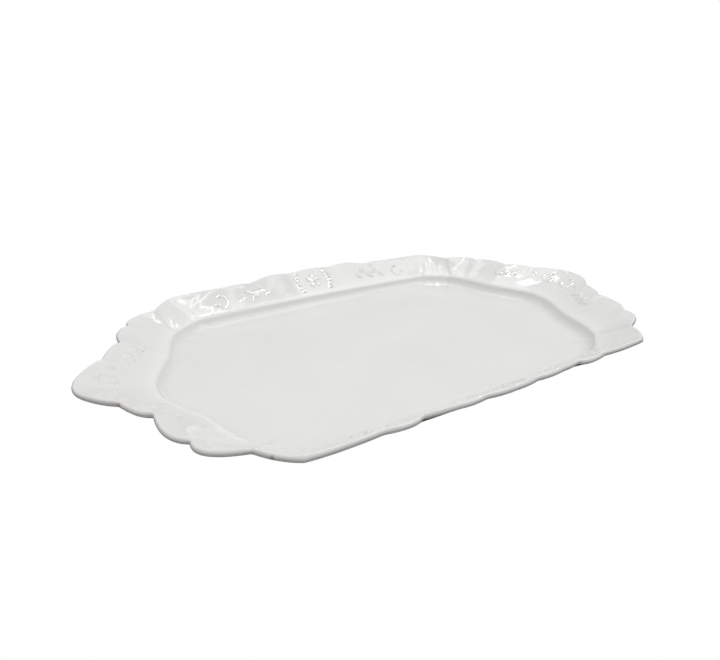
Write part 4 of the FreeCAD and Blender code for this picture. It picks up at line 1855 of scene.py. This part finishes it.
@dataclass
class Studio:
    """Camera, lights, pale floor and surroundings."""

    focal: float = 26.61
    pitch: float = 23.25
    heading: float = 31.29
    place: Place = (-0.1973, -0.2905, 0.1675)
    zenith: float = 0.84
    horizon: float = 0.60
    ground: float = 0.06
    white: Colour = (1.0, 1.0, 1.0, 1.0)
    floor_half: float = 6.0
    floor_light: Colour = (0.065, 0.060, 0.050, 1.0)  # what the floor throws back at the platter
    sparkling: Tuple[str, ...] = (
        "flower_back", "bead_arcs_back", "leaf_sprig_back_left", "side_scroll_back_left",
        "end_scrolls_right", "end_spray_back_right")
    lamps: Tuple[Lamp, ...] = (
        Lamp("softbox_back", (0.75, 0.75, 2.1), (0.0, 0.0, 0.0), (1.0, 0.8), 3.8),
        Lamp("softbox_right", (1.15, -0.40, 1.75), (0.0, 0.0, 0.0), (1.5, 1.1), 7.6),
        Lamp("ceiling_a", (0.54, -0.20, 1.37), (-0.03, 0.10, 0.0), (0.02, 0.04), 0.08, Reach.GLINTS),
        Lamp("ceiling_b", (0.365, -0.21, 1.42), (-0.07, 0.10, 0.0), (0.02, 0.04), 0.08, Reach.GLINTS),
        Lamp("ceiling_c", (-0.655, 0.114, 1.28), (0.15, 0.02, 0.0), (0.10, 0.05), 0.25, Reach.GLINTS),
        Lamp("ceiling_d", (0.08, -0.10, 1.60), (0.12, 0.08, 0.0), (0.07, 0.07), 0.9, Reach.GLINTS),
        Lamp("window", (1.25, 0.70, 1.05), (-0.12, 0.08, 0.0), (0.035, 0.06), 0.3, Reach.GLINTS),
        Lamp("strip", (0.55, 0.53, 1.49), (0.117, 0.084, 0.015), (0.05, 1.0), 0.7, Reach.GLINTS),
        Lamp("sparkle_a", (0.52, -0.05, 1.40), (-0.03, 0.10, 0.0), (0.42, 0.42), 75.0, Reach.RELIEF),
        Lamp("sparkle_b", (-0.60, 0.25, 1.35), (0.15, 0.02, 0.0), (0.42, 0.42), 75.0, Reach.RELIEF),
    )

    def camera(self) -> None:
        """Place the camera."""
        data = bpy.data.cameras.new("camera")
        data.sensor_width = 36.0
        data.lens = self.focal
        data.clip_start = 0.01
        made = bpy.data.objects.new("camera", data)
        made.location = self.place
        made.rotation_euler = (math.radians(90 - self.pitch), 0.0, -math.radians(self.heading))
        bpy.context.scene.collection.objects.link(made)
        bpy.context.scene.camera = made

    def light(self) -> None:
        """Place the lights."""
        relief = bpy.data.collections.new("relief")
        for name in self.sparkling:
            relief.objects.link(bpy.data.objects[name + "_raised"])
        for lamp in self.lamps:
            data = bpy.data.lights.new(lamp.name, "AREA")
            data.shape = "RECTANGLE"
            data.size, data.size_y = lamp.size
            data.energy = lamp.power
            made = bpy.data.objects.new(lamp.name, data)
            made.location = lamp.place
            made.visible_diffuse = lamp.reach is Reach.ALL
            if lamp.reach is Reach.RELIEF:
                made.light_linking.receiver_collection = relief
            aim = Vector(lamp.target) - Vector(lamp.place)
            made.rotation_euler = aim.to_track_quat("-Z", "Y").to_euler()
            bpy.context.scene.collection.objects.link(made)

    @staticmethod
    def _ramp(b: TreeBuilder, value: bpy.types.NodeSocket, start: Plan, end: Plan) -> bpy.types.NodeSocket:
        """Return a value taken softly from one range to another.

        Args:
            b: the tree's builder.
            value: the value's socket.
            start: the range it has.
            end: the range it gets.

        Returns:
            The result's socket.
        """
        ramp = b.node("ShaderNodeMapRange", {"interpolation_type": "SMOOTHSTEP"}, Value=value)
        for name, number in zip(("From Min", "From Max", "To Min", "To Max"), start + end):
            ramp.inputs[name].default_value = number
        return ramp.outputs["Result"]

    def surroundings(self) -> None:
        """Light the scene from a plain pale room."""
        world = bpy.data.worlds.new("room")
        world.use_nodes = True
        b = TreeBuilder(world.node_tree)
        direction = b.node("ShaderNodeTexCoord").outputs["Generated"]
        height = b.node("ShaderNodeSeparateXYZ", None, Vector=direction).outputs["Z"]
        low = self._ramp(b, height, (-0.03, 0.08), (self.ground, self.horizon))
        high = self._ramp(b, height, (0.10, 0.70), (0.0, self.horizon - self.zenith))
        shade = b.node("ShaderNodeBackground", None, Color=self.white)
        b.link(b.math("SUBTRACT", low, high), shade.inputs["Strength"])
        seen = b.node("ShaderNodeLightPath").outputs["Is Camera Ray"]
        backdrop = b.node("ShaderNodeBackground", None, Color=self.white, Strength=1.0)
        mixed = b.node("ShaderNodeMixShader", None, i0=seen, i1=shade.outputs[0], i2=backdrop.outputs[0])
        result = b.node("ShaderNodeOutputWorld")
        b.link(mixed.outputs[0], result.inputs["Surface"])
        bpy.context.scene.world = world

    def floor(self) -> None:
        """Lay the plain pale floor."""
        half = self.floor_half
        mesh = bpy.data.meshes.new("pale_floor")
        mesh.from_pydata(
            [(-half, -half, 0), (half, -half, 0), (half, half, 0), (-half, half, 0)], [], [(0, 1, 2, 3)])
        made = bpy.data.objects.new("pale_floor", mesh)
        bpy.context.scene.collection.objects.link(made)
        material, b = new_material("pale_floor")
        seen = b.node("ShaderNodeLightPath").outputs["Is Camera Ray"]
        dull = b.node("ShaderNodeBsdfDiffuse", None, Color=self.floor_light)
        bright = b.node("ShaderNodeEmission", None, Color=self.white, Strength=1.0)
        mixed = b.node("ShaderNodeMixShader", None, i0=seen, i1=dull.outputs[0], i2=bright.outputs[0])
        result = b.node("ShaderNodeOutputMaterial")
        b.link(mixed.outputs[0], result.inputs["Surface"])
        made.data.materials.append(material)

    def build(self) -> None:
        """Set up the studio."""
        self.camera()
        self.light()
        self.surroundings()
        self.floor()
        bpy.context.scene.view_settings.view_transform = "Standard"


@dataclass
class Platter:
    """The whole platter."""

    plan: PlatterPlan = field(default_factory=PlatterPlan)
    section: WallSection = field(default_factory=WallSection)

    def build(self) -> None:
        """Make and dress every piece."""
        effects = SharedEffects()
        trees = GeometryTrees()
        glaze = FACE_GLAZE.material(effects, has_painted_shading=True)
        back_glaze = BACK_GLAZE.material(effects, has_painted_shading=True)
        relief_glaze = RELIEF_GLAZE.material(effects)
        clay = CORE_CLAY.material(effects)
        bare = FOOT_CLAY.material(effects)

        face = GlazedFace(self.plan, self.section)
        coat = face.build(trees, glaze)
        finish_piece(coat, glaze, ["face_glaze"])
        back = GlazedBack(self.plan, self.section)
        finish_piece(back.build(face.outer[-1]), back_glaze, ["back_glaze"])
        finish_piece(GlazedBase(self.plan, self.section).build(), back_glaze, ["base_glaze"])
        finish_piece(ClayCore(self.plan, self.section).build(face, back), clay, ["clay_body"])
        finish_piece(FootRing(self.plan, self.section).build(trees, bare), bare, ["foot_ring"])
        Ornament(Relief(self.plan, Seat(coat), trees, relief_glaze)).build(relief_glaze)


def main() -> None:
    """Build the platter and the studio; each platter piece logs its triangle count."""
    logging.basicConfig(level=logging.INFO, format="%(name)s: %(message)s")
    Platter().build()
    Studio().build()


if __name__ == "__main__":
    main()
